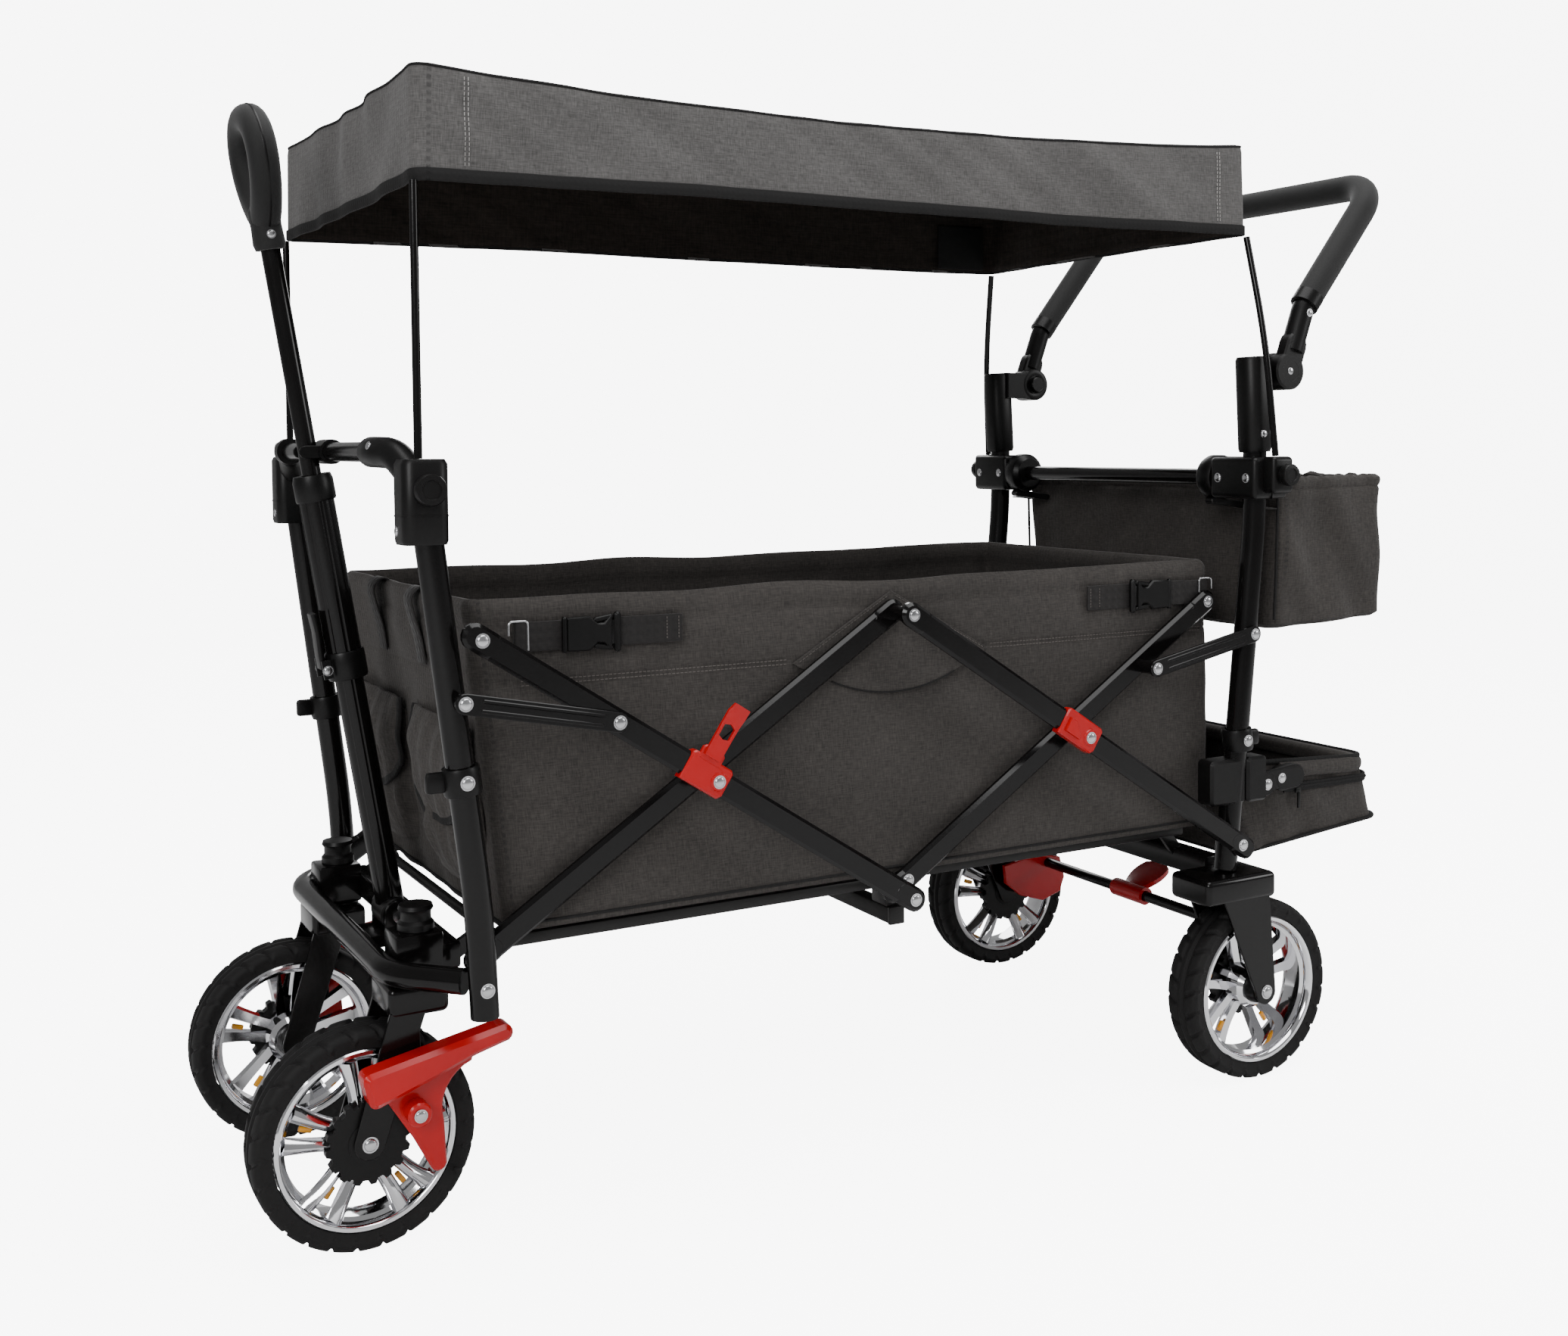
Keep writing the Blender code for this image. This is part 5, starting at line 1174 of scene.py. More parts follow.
# ---- soft goods -----------------------------------------------------------------------------------------------
@dataclass(frozen=True)
class Level:
    """One closed ring of a lofted bag: a rounded rectangle whose front and rear edges have their own heights."""

    front: tuple
    rear: tuple
    half: float
    radius: float = 0.012
    bulge: float = 0.0

    def ring(self, along: int = 150, across: int = 76, corner: int = 7) -> Array:
        """Return the ring's points, near side first, then rear, far side and front."""
        radius = min(self.radius, self.half * 0.95, (self.rear[0] - self.front[0]) * 0.47)
        low, high, half = self.front[0] + radius, self.rear[0] - radius, self.half
        s, t = np.linspace(0, 1, along), np.linspace(-1, 1, across)
        xs, ys = low + (high - low) * s, t * (half - radius)
        swell, push = self.bulge * np.sin(math.pi * s) ** 0.8, self.bulge * (1 - t ** 2)
        sides = [np.stack([xs, -half - swell], 1), np.stack([self.rear[0] + push, ys], 1),
                 np.stack([xs[::-1], half + swell], 1), np.stack([self.front[0] - push, ys[::-1]], 1)]
        centres = [(high, radius - half), (high, half - radius), (low, half - radius), (low, radius - half)]
        plan = []
        for index, (side, centre) in enumerate(zip(sides, centres)):
            turn = np.linspace(0, math.pi / 2, corner)[1:-1] + (index - 1) * math.pi / 2
            plan += [side, np.asarray(centre) + radius * np.stack([np.cos(turn), np.sin(turn)], 1)]
        plan = np.concatenate(plan)
        share = (plan[:, 0] - self.front[0]) / (self.rear[0] - self.front[0])
        return np.insert(plan, 2, self.front[1] + (self.rear[1] - self.front[1]) * share, axis=1)

    def inset(self, inwards: float, rise: float = 0.0) -> Level:
        """Return a ring that lies further in and higher."""
        return Level((self.front[0] + inwards, self.front[1] + rise), (self.rear[0] - inwards, self.rear[1] + rise),
                     self.half - inwards, max(self.radius - inwards * 0.6, 0.004), self.bulge)


def between(low: Level, high: Level, share: float, inset: float = 0.0) -> Level:
    """Return the ring at a share of the way from one to another, set in by some distance."""
    mix = [tuple(a + (b - a) * share for a, b in zip(getattr(low, name), getattr(high, name)))
           for name in ("front", "rear")]
    size = [getattr(low, name) + (getattr(high, name) - getattr(low, name)) * share
            for name in ("half", "radius", "bulge")]
    return Level(*mix, *size).inset(inset)


def loft(levels: Sequence[Level], flat_rings: int = 0, open_foot: bool = False) -> Shape:
    """Join rings from first to last; the first and last few may be laid out flat for the cloth's pattern."""
    rows = np.stack([level.ring() for level in levels])
    ring = rows[len(rows) // 3]
    round_it = np.concatenate([[0], np.cumsum(np.linalg.norm(np.diff(ring, axis=0), axis=1))])
    up = np.concatenate([[0], np.cumsum(np.linalg.norm(np.diff(rows, axis=0), axis=2).mean(1))])
    cloth = np.stack(np.meshgrid(up, round_it, indexing="ij"), -1)[..., ::-1].copy()
    if flat_rings:
        cloth[-flat_rings:] = rows[-flat_rings:, :, :2]
        if not open_foot:
            cloth[:flat_rings] = rows[:flat_rings, :, :2]
    shape = grid(rows, round_v=True, caps=True, cloth=cloth)
    return Shape(shape.points, shape.faces[:-2] + shape.faces[-1:], shape.cloth) if open_foot else shape


def stitches(path: Array, normal: Sequence[float], pitch: float = 0.0042, long: float = 0.0028) -> Shape:
    """Make a row of stitches along a path, each a small flat block that lies on the cloth."""
    path = np.asarray(path, float)
    length = np.concatenate([[0], np.cumsum(np.linalg.norm(np.diff(path, axis=0), axis=1))])
    marks = np.arange(pitch / 2, length[-1] - long, pitch)
    ends = [np.stack([np.interp(marks + shift, length, path[:, k]) for k in range(3)], 1) for shift in (0, long)]
    out = unit(np.asarray(normal, float))
    across = unit(np.cross(ends[1] - ends[0], out)) * 0.00035
    lift = out * 0.0005
    corners = np.stack([ends[0] - across, ends[0] + across, ends[1] + across, ends[1] - across], 1)
    points = np.concatenate([corners, corners + lift], 1).reshape(-1, 3)
    faces = []
    for start in range(0, len(points), 8):
        a = start
        faces += [(a, a + 1, a + 2, a + 3), (a + 4, a + 7, a + 6, a + 5), (a, a + 4, a + 5, a + 1),
                  (a + 1, a + 5, a + 6, a + 2), (a + 2, a + 6, a + 7, a + 3), (a + 3, a + 7, a + 4, a)]
    return Shape(points, faces, None)


def flat_cloth(outline: Sequence[Sequence[float]], low_y: float, high_y: float) -> Shape:
    """Make a patch of cloth in the XZ plane, its pattern laid out in X and Z."""
    shape = plate(outline, low_y, high_y, 0.0005)
    return Shape(shape.points, shape.faces, shape.points[:, [0, 2]].copy())


@dataclass
class Tub:
    """Folding cloth tub: boarded walls, padded rim, straps, patches, pockets."""

    shop: Workshop
    fold: Fold = field(default_factory=lambda: Fold(-0.4355, 0.863))
    foot: Level = Level((-0.4000, 0.2790), (0.4275, 0.2790), 0.2100, 0.010)
    rim: Level = Level((-0.4352, 0.5775), (0.4272, 0.5775), 0.2102, 0.016)

    def sew(self, name: str, shapes: Shape | Iterable[Shape], finish: Finish, **facts: object) -> bpy.types.Object:
        """Make a piece that is carried by the front frame, with the tub's fold settings, which only give it its own
        mesh.
        """
        return self.shop.piece(name, shapes, finish, "front_frame", fold=self.fold, **facts)

    def build(self) -> None:
        """Make the tub and all that is sewn to it."""
        self.shell()
        self.patches()
        self.straps()
        self.front()

    def wall(self, height: float, inset: float = 0.0) -> Level:
        """Return the ring at a height."""
        return between(self.foot, self.rim, (height - TUB_FOOT_Z) / TUB_WALL_HEIGHT, inset)

    def shell(self) -> None:
        """Make the walls, the rim and the floor in one closed form."""
        levels = [self.foot.inset(d) for d in (0.2030, 0.15, 0.08, 0.02, 0.004)]
        levels += [self.wall(0.2805, 0.0008)] + [self.wall(z) for z in np.linspace(0.285, 0.498, 22)]
        levels += [self.wall(0.5005, 0.0007), self.wall(0.503)] + [self.wall(z) for z in np.linspace(0.512, 0.548, 6)]
        levels += [self.wall(z, d) for z, d in ((0.552, 0.0014), (0.556, 0.0004), (0.563, 0), (0.570, 0.0002),
                                               (0.5745, 0.0022), (0.5772, 0.0055), (0.5770, 0.0090), (0.5735, 0.0125),
                                               (0.566, 0.0142), (0.558, 0.0132), (0.553, 0.0092))]
        levels += [self.wall(z, 0.0072) for z in np.linspace(0.545, 0.292, 20)]
        levels += [self.foot.inset(d, 0.0080) for d in (0.0085, 0.02, 0.08, 0.15, 0.2030)]
        shape = loft(levels, flat_rings=5)
        shape = Shape(self.ripple(shape.points), shape.faces, shape.cloth)
        made = self.sew("tub_cloth", shape, HEATHER_DARK, stands_for=("tub",))
        pipe = self.wall(0.2865, -0.0002).ring()
        cord = sweep(pipe, circle(0.0014, 8), UP, closed=True)
        self.sew("tub_piping", cord, BINDING)

    def ripple(self, points: Array) -> Array:
        """Return the shell's points with the cloth's ripples: it only ever sinks inwards, both faces alike."""
        x, y, z = points.T
        side = np.clip((np.abs(y) - 0.19) * 80, 0, 1) * np.clip((z - 0.285) * 40, 0, 1)
        wave = 0.5 + 0.5 * noise(x, z, 5, 0.16)
        small = 0.5 + 0.5 * noise(x + 0.4 * z, z, 9, 0.05)
        pull = np.zeros_like(x)
        for centre, lean, width in ((-0.232, 0.10, 0.010), (0.246, -0.15, 0.010), (0.180, 0.2, 0.012),
                                    (-0.405, 0.05, 0.012), (0.395, 0, 0.012)):
            pull += np.exp(-((x - centre - lean * (z - 0.55)) / width) ** 2) * np.clip((z - 0.49) * 22, 0, 1)
        droop = 0.0016 * noise(x, x * 0, 3, 0.22) - 0.0016
        sink = side * (0.0028 * wave + 0.0014 * small + 0.0026 * pull)
        out = points.copy()
        out[:, 1] -= np.sign(y) * sink
        end = np.clip((np.abs(x) - 0.385) * 60, 0, 1) * (1 - side)
        out[:, 0] -= np.sign(x) * end * 0.0035 * (0.5 + 0.5 * noise(y, z, 21, 0.09))
        out[:, 2] += droop * np.clip((z - 0.50) * 16, 0, 1)
        return out

    def patches(self) -> None:
        """Make the gussets between the bars, the inner patches and the seams."""
        t = np.linspace(-1, 1, 21)
        lip = np.stack([0.006 + 0.072 * t, 0.4625 + 0.0155 * t ** 2], 1)
        gusset = [(0.0035, 0.5630), (-0.108, 0.4985), (-0.102, 0.4940), *lip.tolist(), (0.114, 0.4950),
                  (0.1195, 0.4990)]
        near = flat_cloth(gusset, -0.2118, -0.2086)
        made = self.sew("tub_gussets", both_sides(near), HEATHER_DARK)
        inner = [(0.0, 0.5650), (-0.118, 0.4980), (0.118, 0.4980)]
        made = self.sew("tub_inner_gussets", both_sides(flat_cloth(inner, -0.2030, -0.2008)), HEATHER_DARK)
        rows = []
        for height in (0.4985, 0.5025):
            for a, b in ((-0.385, -0.112), (0.122, 0.412)):
                x = np.linspace(a, b, 60)
                rows.append(stitches(np.stack([x, np.full(60, -0.2100), np.full(60, height)], 1), OUT))
        for line in (((0.0005, 0.5590), (-0.1035, 0.4985)), ((0.0065, 0.5590), (0.1155, 0.4990))):
            path = np.array([(x, -0.2116, z) for x, z in line])
            rows.append(stitches(path, OUT))
        self.sew("tub_stitches", both_sides(*rows), THREAD)
        hem = [(*p, q) for p, q in zip(zip(lip[:, 0], np.full(21, -0.2120)), lip[:, 1])]
        self.sew("tub_gusset_hems", both_sides(sweep(np.array(hem), circle(0.0009, 8), ACROSS)), BINDING)

    @staticmethod
    def area(outline: Sequence[Sequence[float]]) -> float:
        """Return the area inside an outline."""
        rim = np.asarray(outline, float)
        return abs(np.sum(rim[:, 0] * np.roll(rim[:, 1], -1) - np.roll(rim[:, 0], -1) * rim[:, 1])) / 2

    def straps(self) -> None:
        """Make the webbing straps with their buckles and wire hooks."""
        webs, moulds, wires, sewn = [], [], [], []
        for start, end, buckle, sign in ((-0.3900, -0.2257, -0.3163, 1), (0.4180, 0.2498, 0.3316, -1)):
            low, high = min(start, end), max(start, end)
            webs.append(flat_cloth([(low, 0.5290), (high, 0.5285), (high, 0.5540), (low, 0.5550)], -0.2124, -0.2102))
            webs.append(flat_cloth([(buckle - sign * 0.062 - 0.010, 0.5288), (buckle - sign * 0.028, 0.5288),
                                    (buckle - sign * 0.028, 0.5548), (buckle - sign * 0.062 - 0.010, 0.5552)],
                                   -0.2139, -0.2122))
            moulds += self.buckle(buckle, sign)
            wires.append(self.wire_hook(start - sign * 0.001, sign))
            for x in (end - sign * 0.004, end - sign * 0.016):
                sewn.append(stitches(np.array([(x, -0.2123, 0.5305), (x, -0.2123, 0.5525)]), OUT, 0.003, 0.002))
        self.sew("tub_straps", both_sides(*webs), WEBBING)
        self.sew("strap_buckles", both_sides(*moulds), NYLON_BLACK)
        self.sew("strap_wire_hooks", both_sides(*wires), ZINC_STEEL)
        self.sew("strap_stitches", both_sides(*sewn), THREAD)

    @staticmethod
    def buckle(x: float, sign: int) -> list[Shape]:
        """Return a side-release buckle: a socket frame, a waisted plug with two arms, and a ladder bar."""
        z, y0 = 0.5418, -0.2124
        socket = plate([(x - sign * 0.026, z - 0.0150), (x - sign * 0.004, z - 0.0158), (x + sign * 0.004, z - 0.0090),
                        (x + sign * 0.010, z - 0.0090), (x + sign * 0.016, z - 0.0158), (x + sign * 0.018, z - 0.0158),
                        (x + sign * 0.018, z + 0.0158), (x + sign * 0.016, z + 0.0158), (x + sign * 0.010, z + 0.0090),
                        (x + sign * 0.004, z + 0.0090), (x - sign * 0.004, z + 0.0158), (x - sign * 0.026, z + 0.0150)],
                       y0 - 0.0062, y0, 0.0016)
        arms = [plate(strip((x + sign * 0.003, z + s * 0.0118), (x + sign * 0.017, z + s * 0.0140), 0.0046),
                      y0 - 0.0054, y0 - 0.001, 0.0010) for s in (-1, 1)]
        bar = plate(strip((x + sign * 0.0235, z - 0.0150), (x + sign * 0.0235, z + 0.0150), 0.0065), y0 - 0.0068,
                    y0 - 0.0004, 0.0018)
        bridge = block((0.009, 0.0040, 0.022), (x + sign * 0.0205, y0 - 0.0026, z), 0.001)
        ladder = plate(strip((x - sign * 0.0275, z - 0.0142), (x - sign * 0.0275, z + 0.0142), 0.0042), y0 - 0.0070,
                       y0 - 0.0010, 0.0014)
        return [socket, *arms, bar, bridge, ladder]

    @staticmethod
    def wire_hook(x: float, sign: int) -> Shape:
        """Return a bent wire hook at a strap's outer end."""
        path = smooth_path([(x + sign * 0.014, -0.2136, 0.5300), (x + sign * 0.014, -0.2136, 0.5562),
                            (x - sign * 0.004, -0.2136, 0.5562), (x - sign * 0.004, -0.2136, 0.5440)], 0.004)
        return sweep(path, circle(0.0011, 10), ACROSS)

    def front(self) -> None:
        """Make the two puffed pockets with their flaps and the webbing loops on the front wall."""
        lean = 0.0352 / TUB_WALL_HEIGHT
        for name, side in SIDES:
            pocket = self.pouch(side * 0.105, 0.0760, (0.3080, 0.4480), 0.020, lean)
            made = self.sew(f"pocket_{name}", pocket, HEATHER_DARK)
            flap = self.flap(side * 0.105, 0.0820, lean)
            made = self.sew(f"pocket_flap_{name}", flap, HEATHER_DARK)
            edge = self.flap_edge(side * 0.105, 0.0820, lean)
            self.sew(f"pocket_flap_binding_{name}", edge, BINDING)
        loops = []
        for y in (-0.065, 0.065):
            path = [(-0.4280, y, 0.5060), (-0.4313, y, 0.5300), (-0.4380, y, 0.5520), (-0.4420, y, 0.5700),
                    (-0.4320, y, 0.5805), (-0.4210, y, 0.5740), (-0.4190, y, 0.5550)]
            loops.append(sweep(smooth_path(path, 0.012), rounded(0.0016, 0.025, 0.0007, 3), ACROSS))
        self.sew("front_webbing_loops", loops, WEBBING)

    @staticmethod
    def front_x(z: Array, lean: float) -> Array:
        """Return where the front wall stands at a height."""
        return -0.4000 - lean * (z - TUB_FOOT_Z)

    def pouch(self, centre: float, half: float, heights: tuple, depth: float, lean: float) -> Shape:
        """Return a puffed pocket: a closed form that swells from the wall, slack at its foot."""
        u, v = np.meshgrid(np.linspace(-1, 1, 33), np.linspace(0, 1, 27), indexing="ij")
        round_in = (1 - np.abs(u) ** 4) * np.clip(np.sin(math.pi * np.clip(v * 0.86 + 0.07, 0, 1)), 0, 1) ** 0.55
        z = heights[0] + (heights[1] - heights[0]) * v + 0.010 * (1 - v) * u ** 2
        slack = 1 + 0.22 * noise(u * 0.1, v * 0.1, 31, 0.05) + 0.20 * (0.45 - v)
        x = self.front_x(z, lean) + 0.0015 - depth * round_in * slack
        y = centre + half * u * (1 - 0.06 * (1 - v))
        out = np.stack([x, y, z], -1)
        back = np.stack([self.front_x(z, lean) + 0.0030, y, z], -1)
        wall = RearFrame.rim_between(out, back)
        cloth = np.concatenate([out[..., 1:].reshape(-1, 2), back[..., 1:].reshape(-1, 2), wall.points[:, 1:]])
        body = joined([grid(out), grid(back[:, ::-1]), wall])
        return Shape(body.points, body.faces, cloth)

    def flap_grid(self, centre: float, half: float, lean: float) -> tuple[Array, Array]:
        """Return the outer and the inner face of a pocket's flap."""
        u, v = np.meshgrid(np.linspace(-1, 1, 33), np.linspace(0, 1, 17), indexing="ij")
        drop = 0.094 * (1 - 0.30 * np.abs(u) ** 3.0)
        z = 0.4620 - drop * v
        swell = 0.0215 * np.sin(math.pi * np.clip(v * 0.72 + 0.02, 0, 1)) ** 0.6 * (1 - 0.55 * u ** 4)
        x = self.front_x(z, lean) - 0.0018 - swell - 0.0016 * noise(u * 0.1, v * 0.08, 17, 0.04)
        y = centre + half * u * (1 - 0.05 * v)
        out = np.stack([x, y, z], -1)
        return out, out + [0.0026, 0, 0]

    def flap(self, centre: float, half: float, lean: float) -> Shape:
        """Return a pocket's flap."""
        out, back = self.flap_grid(centre, half, lean)
        body = joined([grid(out), grid(back[:, ::-1]), RearFrame.rim_between(out, back)])
        return Shape(body.points, body.faces, body.points[:, 1:].copy())

    def flap_edge(self, centre: float, half: float, lean: float) -> Shape:
        """Return the flap's bound edge."""
        out, _ = self.flap_grid(centre, half, lean)
        path = np.concatenate([out[0, :-1], out[:, -1], out[-1, -2::-1]]) + [0.0012, 0, 0]
        return sweep(path, rounded(0.0085, 0.0046, 0.0018, 3), (1, 0, 0))


@dataclass
class Canopy:
    """Roof sheet with a valance all round, stretched between four poles."""

    shop: Workshop
    fold: Fold = field(default_factory=lambda: Fold(-0.4805, 0.935))
    hem: Level = Level((-0.4795, 0.9330), (0.4535, 0.9330), 0.2390, 0.014)
    top: Level = Level((-0.4785, 1.0330), (0.4525, 1.0330), 0.2380, 0.016)

    def sew(self, name: str, shapes: Shape | Iterable[Shape], finish: Finish, **facts: object) -> bpy.types.Object:
        """Make a piece that is carried by the front frame, with the roof's fold settings, which only give it its own
        mesh.
        """
        return self.shop.piece(name, shapes, finish, "front_frame", fold=self.fold, **facts)

    def build(self) -> None:
        """Make the roof, its lining, hem tape, seams and the inner patch."""
        levels = [between(self.hem, self.top, s) for s in np.linspace(0, 0.90, 20)]
        turn = ((0.0006, -0.005), (0.0022, -0.0022), (0.0050, -0.0006), (0.0090, 0))
        flat = (0.016, 0.026, 0.040, 0.060, 0.085, 0.115, 0.150, 0.185, 0.215, 0.2265)
        roof = levels + [self.top.inset(d, r) for d, r in turn] + [self.top.inset(d) for d in flat]
        sheet = loft(roof, 8, open_foot=True)
        made = self.sew("roof_cloth", Shape(self.sag(sheet.points), sheet.faces, sheet.cloth), HEATHER_LIGHT,
                        stands_for=("canopy",), wall=0.0016)
        under = [level.inset(0.0028, -0.0026) for level in roof[1:]]
        lining = loft(under, 8, open_foot=True)
        made = self.sew("roof_lining", Shape(self.sag(lining.points), lining.faces, lining.cloth), LINING, wall=0.0008)
        tape = self.hem.ring() + [0, 0, 0.0045]
        band = sweep(self.sag(tape), rounded(0.0034, 0.0110, 0.0012, 3), UP, closed=True)
        self.sew("roof_hem_tape", band, BINDING)
        edge = self.top.inset(0.0012, -0.0030).ring()
        piping = sweep(self.sag(edge), circle(0.0013, 8), UP, closed=True)
        self.sew("roof_edge_piping", piping, BINDING)
        self.seams()

    def sag(self, points: Array) -> Array:
        """Return points lowered where the cloth sags between the poles, with light ripples."""
        x, y, z = points.T
        s = np.clip((x + 0.4805) / 0.935, 0, 1)
        high = np.clip((z - 0.945) / 0.085, 0, 1)
        length = 0.0165 * np.sin(math.pi * s) ** 0.75
        middle = np.clip(1 - np.abs(y) / 0.24, 0, 1)
        out = points.copy()
        ripple = 0.0022 * noise(x, z + y * 0.4, 12, 0.20) + 0.0014 * noise(x + z * 1.4, y, 14, 0.07)
        out[:, 2] -= high * (length + 0.010 * middle ** 1.3 * np.sin(math.pi * s)) + 0.0014 * np.sin(7 * x) * (1 - high)
        near = np.clip((np.abs(y) - 0.20) * 30, 0, 1)
        out[:, 1] -= np.sign(y) * near * (0.0030 * np.sin(math.pi * s) + 0.0022 + ripple) * np.clip(s * 14, 0, 1) * (
            np.clip((1 - s) * 14, 0, 1))
        end = np.clip((np.abs(x + 0.013) - 0.44) * 40, 0, 1) * (1 - near)
        out[:, 0] -= np.sign(x) * end * 0.006 * (1 - (y / 0.24) ** 2) * (1 + 0.4 * noise(y, z, 8, 0.1))
        return out

    def seams(self) -> None:
        """Make the seams beside each corner and the square patch inside the far valance."""
        z = np.linspace(0.944, 1.026, 20)
        lines = []
        for x in (-0.4350, 0.4090):
            line = np.stack([np.full(20, x), np.full(20, -0.2390), z], 1)
            lines += [stitches(self.sag(line), OUT), stitches(self.sag(line + [0.0035, 0, 0]), OUT)]
        self.sew("roof_stitches", both_sides(*lines), SILVER_THREAD)
        patch = block((0.072, 0.0012, 0.056), (0.4380 - 0.040, 0.2290, 0.9640), 0.0005)
        self.sew("roof_inner_patch", patch, BINDING)


@dataclass
class Bags:
    """Upper bag with a gathered mouth and lower basket with a padded, zipped rim."""

    shop: Workshop

    def build(self) -> None:
        """Make both bags."""
        self.upper()
        self.lower()

    def upper(self) -> None:
        """Make the upper bag: open at the top, its mouth gathered by elastic, its floor sagging."""
        foot = Level((0.5080, 0.4960), (0.6880, 0.5030), 0.2250, 0.020, 0.0015)
        mouth = Level((0.5045, 0.6650), (0.6800, 0.6660), 0.2310, 0.018, 0.0)
        levels = [foot.inset(d, -0.003) for d in (0.080, 0.05, 0.02, 0.006)]
        levels += [between(foot, mouth, s) for s in np.linspace(0.01, 0.90, 24)]
        lip = ((0.925, 0.0016), (0.94, 0.0004), (0.97, 0), (0.99, 0.0008), (1.005, 0.0035), (1.008, 0.0070),
               (1.0, 0.0105), (0.96, 0.0115), (0.93, 0.0095), (0.915, 0.0055))
        levels += [between(foot, mouth, s, d) for s, d in lip]
        levels += [between(foot, mouth, s, 0.0045) for s in np.linspace(0.88, 0.05, 16)]
        levels += [foot.inset(d, 0.0025) for d in (0.008, 0.02, 0.05, 0.080)]
        shape = loft(levels, flat_rings=4)
        out = shape.points.copy()
        x, y, z = out.T
        wall = np.clip((np.abs(y) - 0.19) * 40, 0, 1)
        fold_lines = noise(x + 0.55 * z, z * 0.6, 41, 0.07)
        hang = 0.0035 * np.sin((x - 0.50) * 9) * (0.6 - z) * 6
        out[:, 1] -= np.sign(y) * wall * (0.0035 + 0.0030 * fold_lines + hang)
        face = np.clip((np.abs(x - 0.595) - 0.07) * 50, 0, 1) * (1 - wall)
        out[:, 0] -= np.sign(x - 0.595) * face * (0.0030 + 0.0028 * noise(y, z, 43, 0.09))
        gather = np.clip((z - 0.640) * 40, 0, 1)
        out[:, 2] += gather * (0.0020 * noise(y * 1.0 + x, x, 44, 0.018) - 0.0018) * (1 - 0.6 * wall)
        made = self.shop.piece("rear_bag_cloth", Shape(out, shape.faces, shape.cloth), HEATHER_DARK, "rear_frame",
                               ("upper_bag",))
        seam = np.array([(0.5080, y, z) for y, z in ((-0.2235, 0.505), (-0.2262, 0.560), (-0.2290, 0.655))])
        self.shop.piece("rear_bag_piping", both_sides(sweep(seam, circle(0.0016, 8), (1, 0, 0))), BINDING, "rear_frame")
        tabs = []
        for y in (-0.2230, 0.2230):
            tabs.append(sweep(smooth_path([(0.5100, y, 0.6300), (0.4850, y, 0.6330), (0.4810, y, 0.6330)], 0.005),
                              rounded(0.0016, 0.012, 0.0007, 3), ACROSS))
        self.shop.piece("rear_bag_tabs", tabs, WEBBING, "rear_frame")

    def lower(self) -> None:
        """Make the lower basket: low walls, a padded rim round its rear, a zip below the rim, bound edges."""
        foot = Level((0.4700, 0.2360), (0.7020, 0.2560), 0.2035, 0.022)
        mouth = Level((0.4495, 0.3410), (0.6860, 0.3290), 0.2000, 0.026)
        levels = [foot.inset(d) for d in (0.105, 0.06, 0.02, 0.006)]
        levels += [between(foot, mouth, s) for s in np.linspace(0.02, 0.96, 16)]
        levels += [between(foot, mouth, s, d) for s, d in ((0.995, 0.0012), (1.0, 0.0030), (0.985, 0.0048))]
        levels += [between(foot, mouth, s, 0.0046) for s in np.linspace(0.95, 0.06, 12)]
        levels += [foot.inset(d, 0.0040) for d in (0.008, 0.02, 0.06, 0.105)]
        shape = loft(levels, flat_rings=4)
        out = shape.points.copy()
        x, y, z = out.T
        wall = np.clip((np.abs(y) - 0.17) * 40, 0, 1)
        out[:, 1] -= np.sign(y) * wall * (0.0022 + 0.0020 * noise(x, z, 51, 0.06))
        made = self.shop.piece("basket_cloth", Shape(out, shape.faces, shape.cloth), HEATHER_DARK, "lower_basket",
                               ("lower_basket",))
        rail = smooth_path([(0.5390, -0.1975, 0.3265), (0.6795, -0.1975, 0.3205), (0.6795, 0.1975, 0.3205),
                            (0.5390, 0.1975, 0.3265)], 0.030, 9)
        pad = sweep(rail, rounded(0.0185, 0.0190, 0.0080, 5), (0.04, 0, 1))
        made = self.shop.piece("basket_rim_pad", pad, HEATHER_DARK, "lower_basket")
        arms = [plate(strip((0.4953, 0.3192), (0.5450, 0.3240), 0.0230), -0.2195, -0.2120, 0.0015),
                plate(strip((0.5290, 0.3200), (0.5490, 0.3220), 0.0270), -0.2198, -0.2040, 0.0025)]
        self.shop.piece("basket_arms", both_sides(*arms), NYLON_BLACK, "lower_basket")
        heads = [rivet((0.5251, -0.2195, 0.3222), OUT, 0.0046, 0.0022)]
        self.shop.piece("basket_arm_rivets", both_sides(*heads), ZINC_STEEL, "lower_basket")
        zip_line = between(foot, mouth, 0.66, -0.0006).ring()
        start = zip_line[zip_line[:, 0] > 0.5450]
        order = np.argsort(np.arctan2(start[:, 1], start[:, 0] - 0.58))
        line = start[order]
        tape = sweep(line, rounded(0.0030, 0.0100, 0.0012, 3), UP)
        teeth = sweep(line, rounded(0.0058, 0.0030, 0.0012, 3), UP)
        self.shop.piece("basket_zip", [tape, teeth], BINDING, "lower_basket")
        puller = [block((0.0085, 0.0030, 0.0060), (0.5660, -0.2040, 0.3010), 0.001),
                  block((0.0042, 0.0022, 0.0200), (0.5665, -0.2050, 0.2900), 0.001)]
        self.shop.piece("basket_zip_pullers", both_sides(*puller), NYLON_BLACK, "lower_basket")
        pipe = foot.inset(0.0024, 0.0006).ring()
        pipe[:, 0] += 0.0030 * np.clip((pipe[:, 0] - 0.62) * 20, 0, 1)
        cord = sweep(pipe, rounded(0.0070, 0.0040, 0.0018, 3), UP, closed=True)
        front_edge = between(foot, mouth, 1.0, 0.001).ring()
        bind = sweep(front_edge, rounded(0.0052, 0.0060, 0.0020, 3), UP, closed=True)
        self.shop.piece("basket_bindings", [cord, bind], BINDING, "lower_basket")


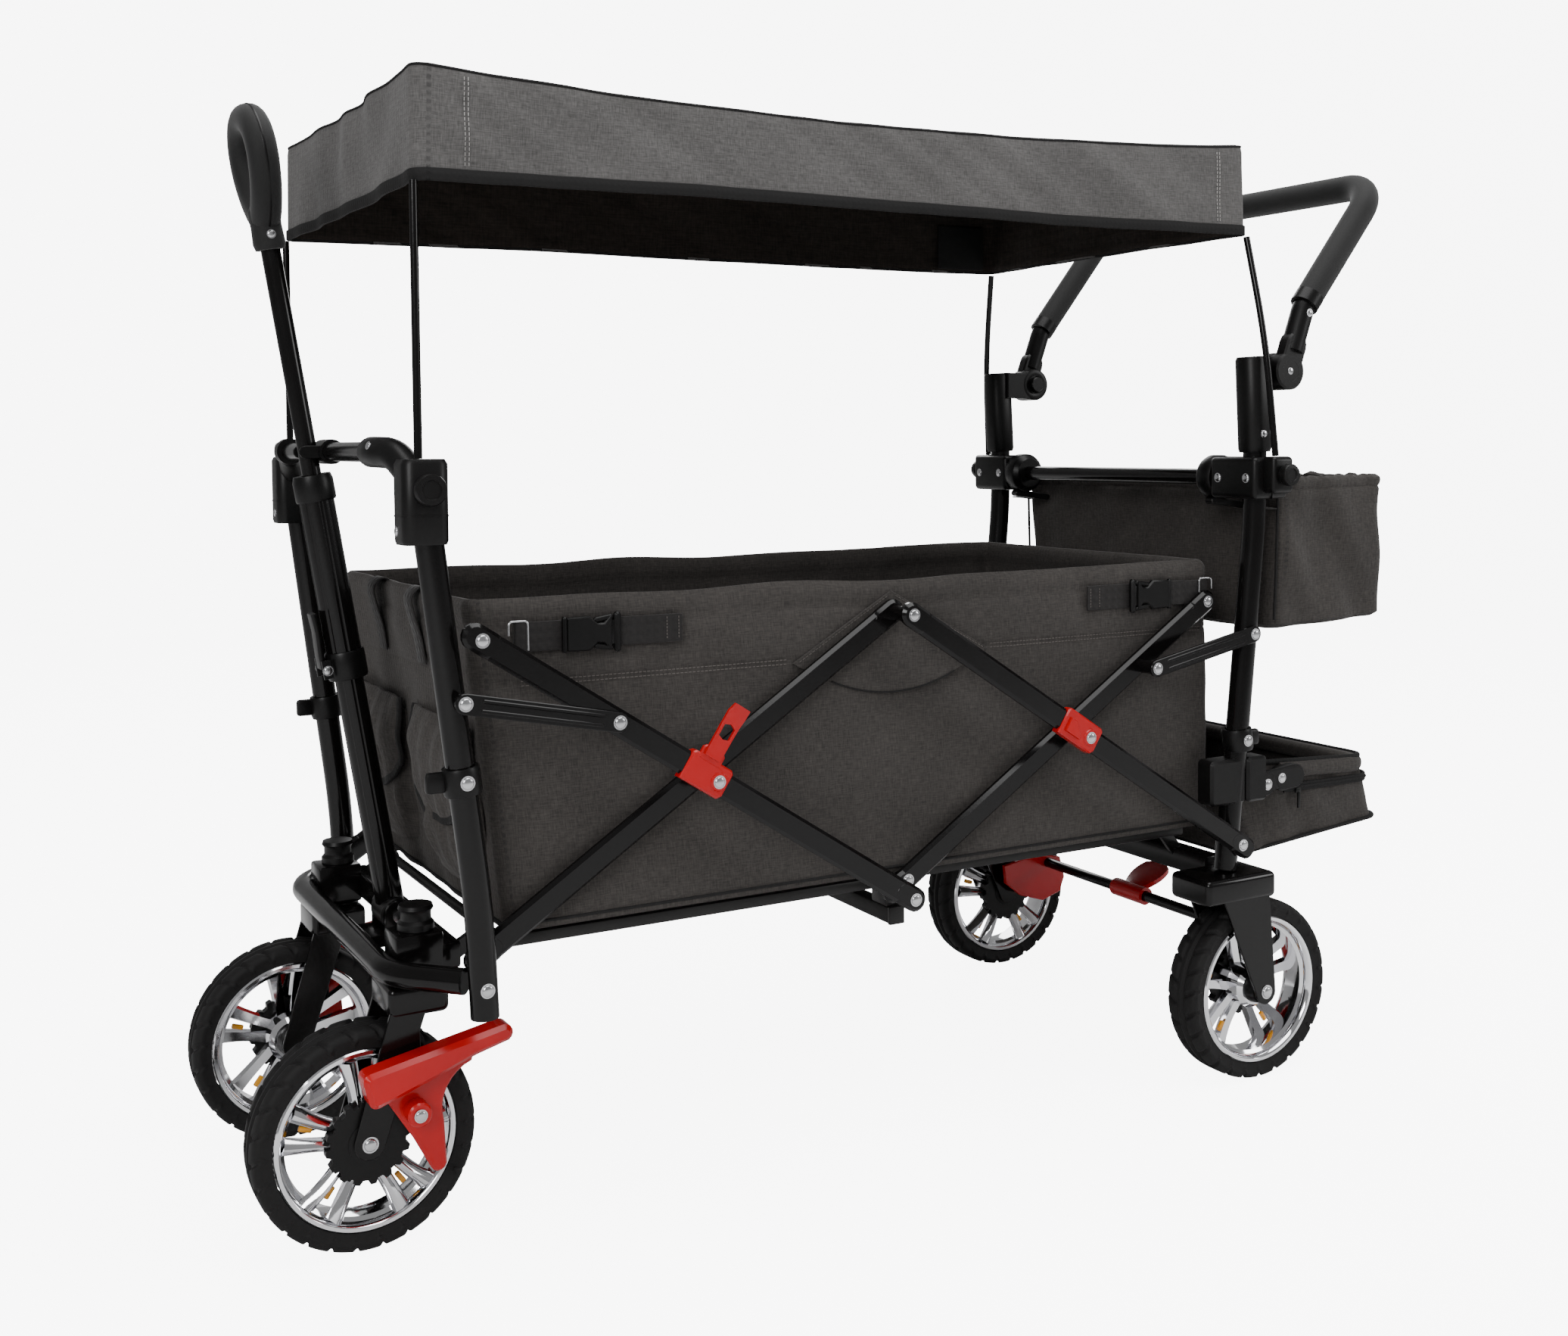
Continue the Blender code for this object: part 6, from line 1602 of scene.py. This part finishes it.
# ---- studio ---------------------------------------------------------------------------------------------------
@dataclass
class Studio:
    """Camera, soft lights and a pale floor."""

    shift: float
    place: tuple = (-0.8903, -1.6081, 0.7136)
    yaw: float = math.radians(28.70)
    pitch: float = math.radians(-2.40)
    roll: float = math.radians(-0.547)
    lens: float = 38.46

    def build(self) -> None:
        """Set up the scene round the object."""
        self.camera()
        self.floor()
        self.lights()

    def camera(self) -> None:
        """Make the camera and make it the scene's."""
        data = bpy.data.cameras.new("studio_camera")
        data.lens, data.sensor_width, data.sensor_fit = self.lens, 36.0, "HORIZONTAL"
        data.shift_x, data.shift_y = 0.0051, -0.1009
        data.clip_start, data.clip_end = 0.05, 60.0
        ahead = Vector((math.sin(self.yaw) * math.cos(self.pitch), math.cos(self.yaw) * math.cos(self.pitch),
                        math.sin(self.pitch)))
        level = Vector((math.cos(self.yaw), -math.sin(self.yaw), 0))
        above = level.cross(ahead)
        right = level * math.cos(self.roll) + above * math.sin(self.roll)
        up = above * math.cos(self.roll) - level * math.sin(self.roll)
        turn = Matrix((right, up, -ahead)).transposed().to_4x4()
        camera = bpy.data.objects.new("studio_camera", data)
        camera.matrix_world = Matrix.Translation(Vector(self.place) + Vector((self.shift, 0, 0))) @ turn
        bpy.context.scene.collection.objects.link(camera)
        bpy.context.scene.camera = camera

    def floor(self) -> None:
        """Make the pale floor that curves up behind the object, and a white surround."""
        t = np.linspace(0, math.pi / 2, 14)
        curve = np.stack([5 + 2 * np.sin(t), 2 - 2 * np.cos(t)], 1)
        line = np.concatenate([[(-9.0, 0.0), (5.0, 0.0)], curve, [(7, 9.0)]])
        rows = np.stack([np.stack([np.full(len(line), x), line[:, 0], line[:, 1]], 1) for x in (-11.0, 11.0)])
        shape = grid(rows)
        mesh = bpy.data.meshes.new("studio_floor")
        mesh.from_pydata(shape.points.tolist(), [], shape.faces)
        mesh.shade_smooth()
        paper = bpy.data.materials.new("studio_paper")
        paper.use_nodes = True
        skin = paper.node_tree.nodes["Principled BSDF"]
        skin.inputs["Base Color"].default_value = (0.80, 0.80, 0.80, 1)
        skin.inputs["Roughness"].default_value = 0.9
        skin.inputs["Specular IOR Level"].default_value = 0.1
        skin.inputs["Emission Color"].default_value = (1, 1, 1, 1)
        seen = paper.node_tree.nodes.new("ShaderNodeLightPath")
        glow = add_node(paper.node_tree, "ShaderNodeMath", {1: PAPER_GLOW}, {0: seen.outputs["Is Camera Ray"]})
        glow.operation = "MULTIPLY"
        paper.node_tree.links.new(glow.outputs[0], skin.inputs["Emission Strength"])
        mesh.materials.append(paper)
        stage = bpy.data.objects.new("studio_floor", mesh)
        bpy.context.scene.collection.objects.link(stage)
        world = bpy.data.worlds.new("studio_surround")
        world.use_nodes = True
        world.node_tree.nodes["Background"].inputs["Color"].default_value = (1, 1, 1, 1)
        seen = world.node_tree.nodes.new("ShaderNodeLightPath")
        glow = add_node(world.node_tree, "ShaderNodeMath", {1: SURROUND_GLOW, 2: SURROUND_LIGHT},
                        {0: seen.outputs["Is Camera Ray"]})
        glow.operation = "MULTIPLY_ADD"
        world.node_tree.links.new(glow.outputs[0], world.node_tree.nodes["Background"].inputs["Strength"])
        bpy.context.scene.world = world

    def lights(self) -> None:
        """Place the soft boxes: a large one overhead, one at the front left and a low one behind."""
        for name, place, size, power in (("overhead", (0.2, -0.4, 3.2), 2.6, 110), ("key", (-3.0, -2.6, 2.2), 1.6, 90),
                                         ("fill", (3.2, -2.4, 1.8), 1.4, 40), ("rim", (1.6, 3.2, 2.2), 1.6, 45)):
            data = bpy.data.lights.new(name, "AREA")
            data.shape, data.size, data.energy = "SQUARE", size, power
            lamp = bpy.data.objects.new(name, data)
            lamp.location = place
            lamp.rotation_euler = (Vector((0, 0, 0.5)) - Vector(place)).to_track_quat("-Z", "Y").to_euler()
            bpy.context.scene.collection.objects.link(lamp)


def main() -> None:
    """Build the wagon's visual model on the loaded frame."""
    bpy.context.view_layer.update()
    shift = next(joint for joint in FRAME["joints"] if joint["name"] == "fold_top")["pos_m"][0]
    shop = Workshop(shift)
    for maker in (Posts, FrontFrame, Casters, Wheels, Scissors, RearFrame, PushHandle, PullHandle, Tub, Canopy, Bags):
        maker(shop).build()
    Studio(shift).build()


if __name__ == "__main__":
    logging.basicConfig(level=logging.INFO)
    main()
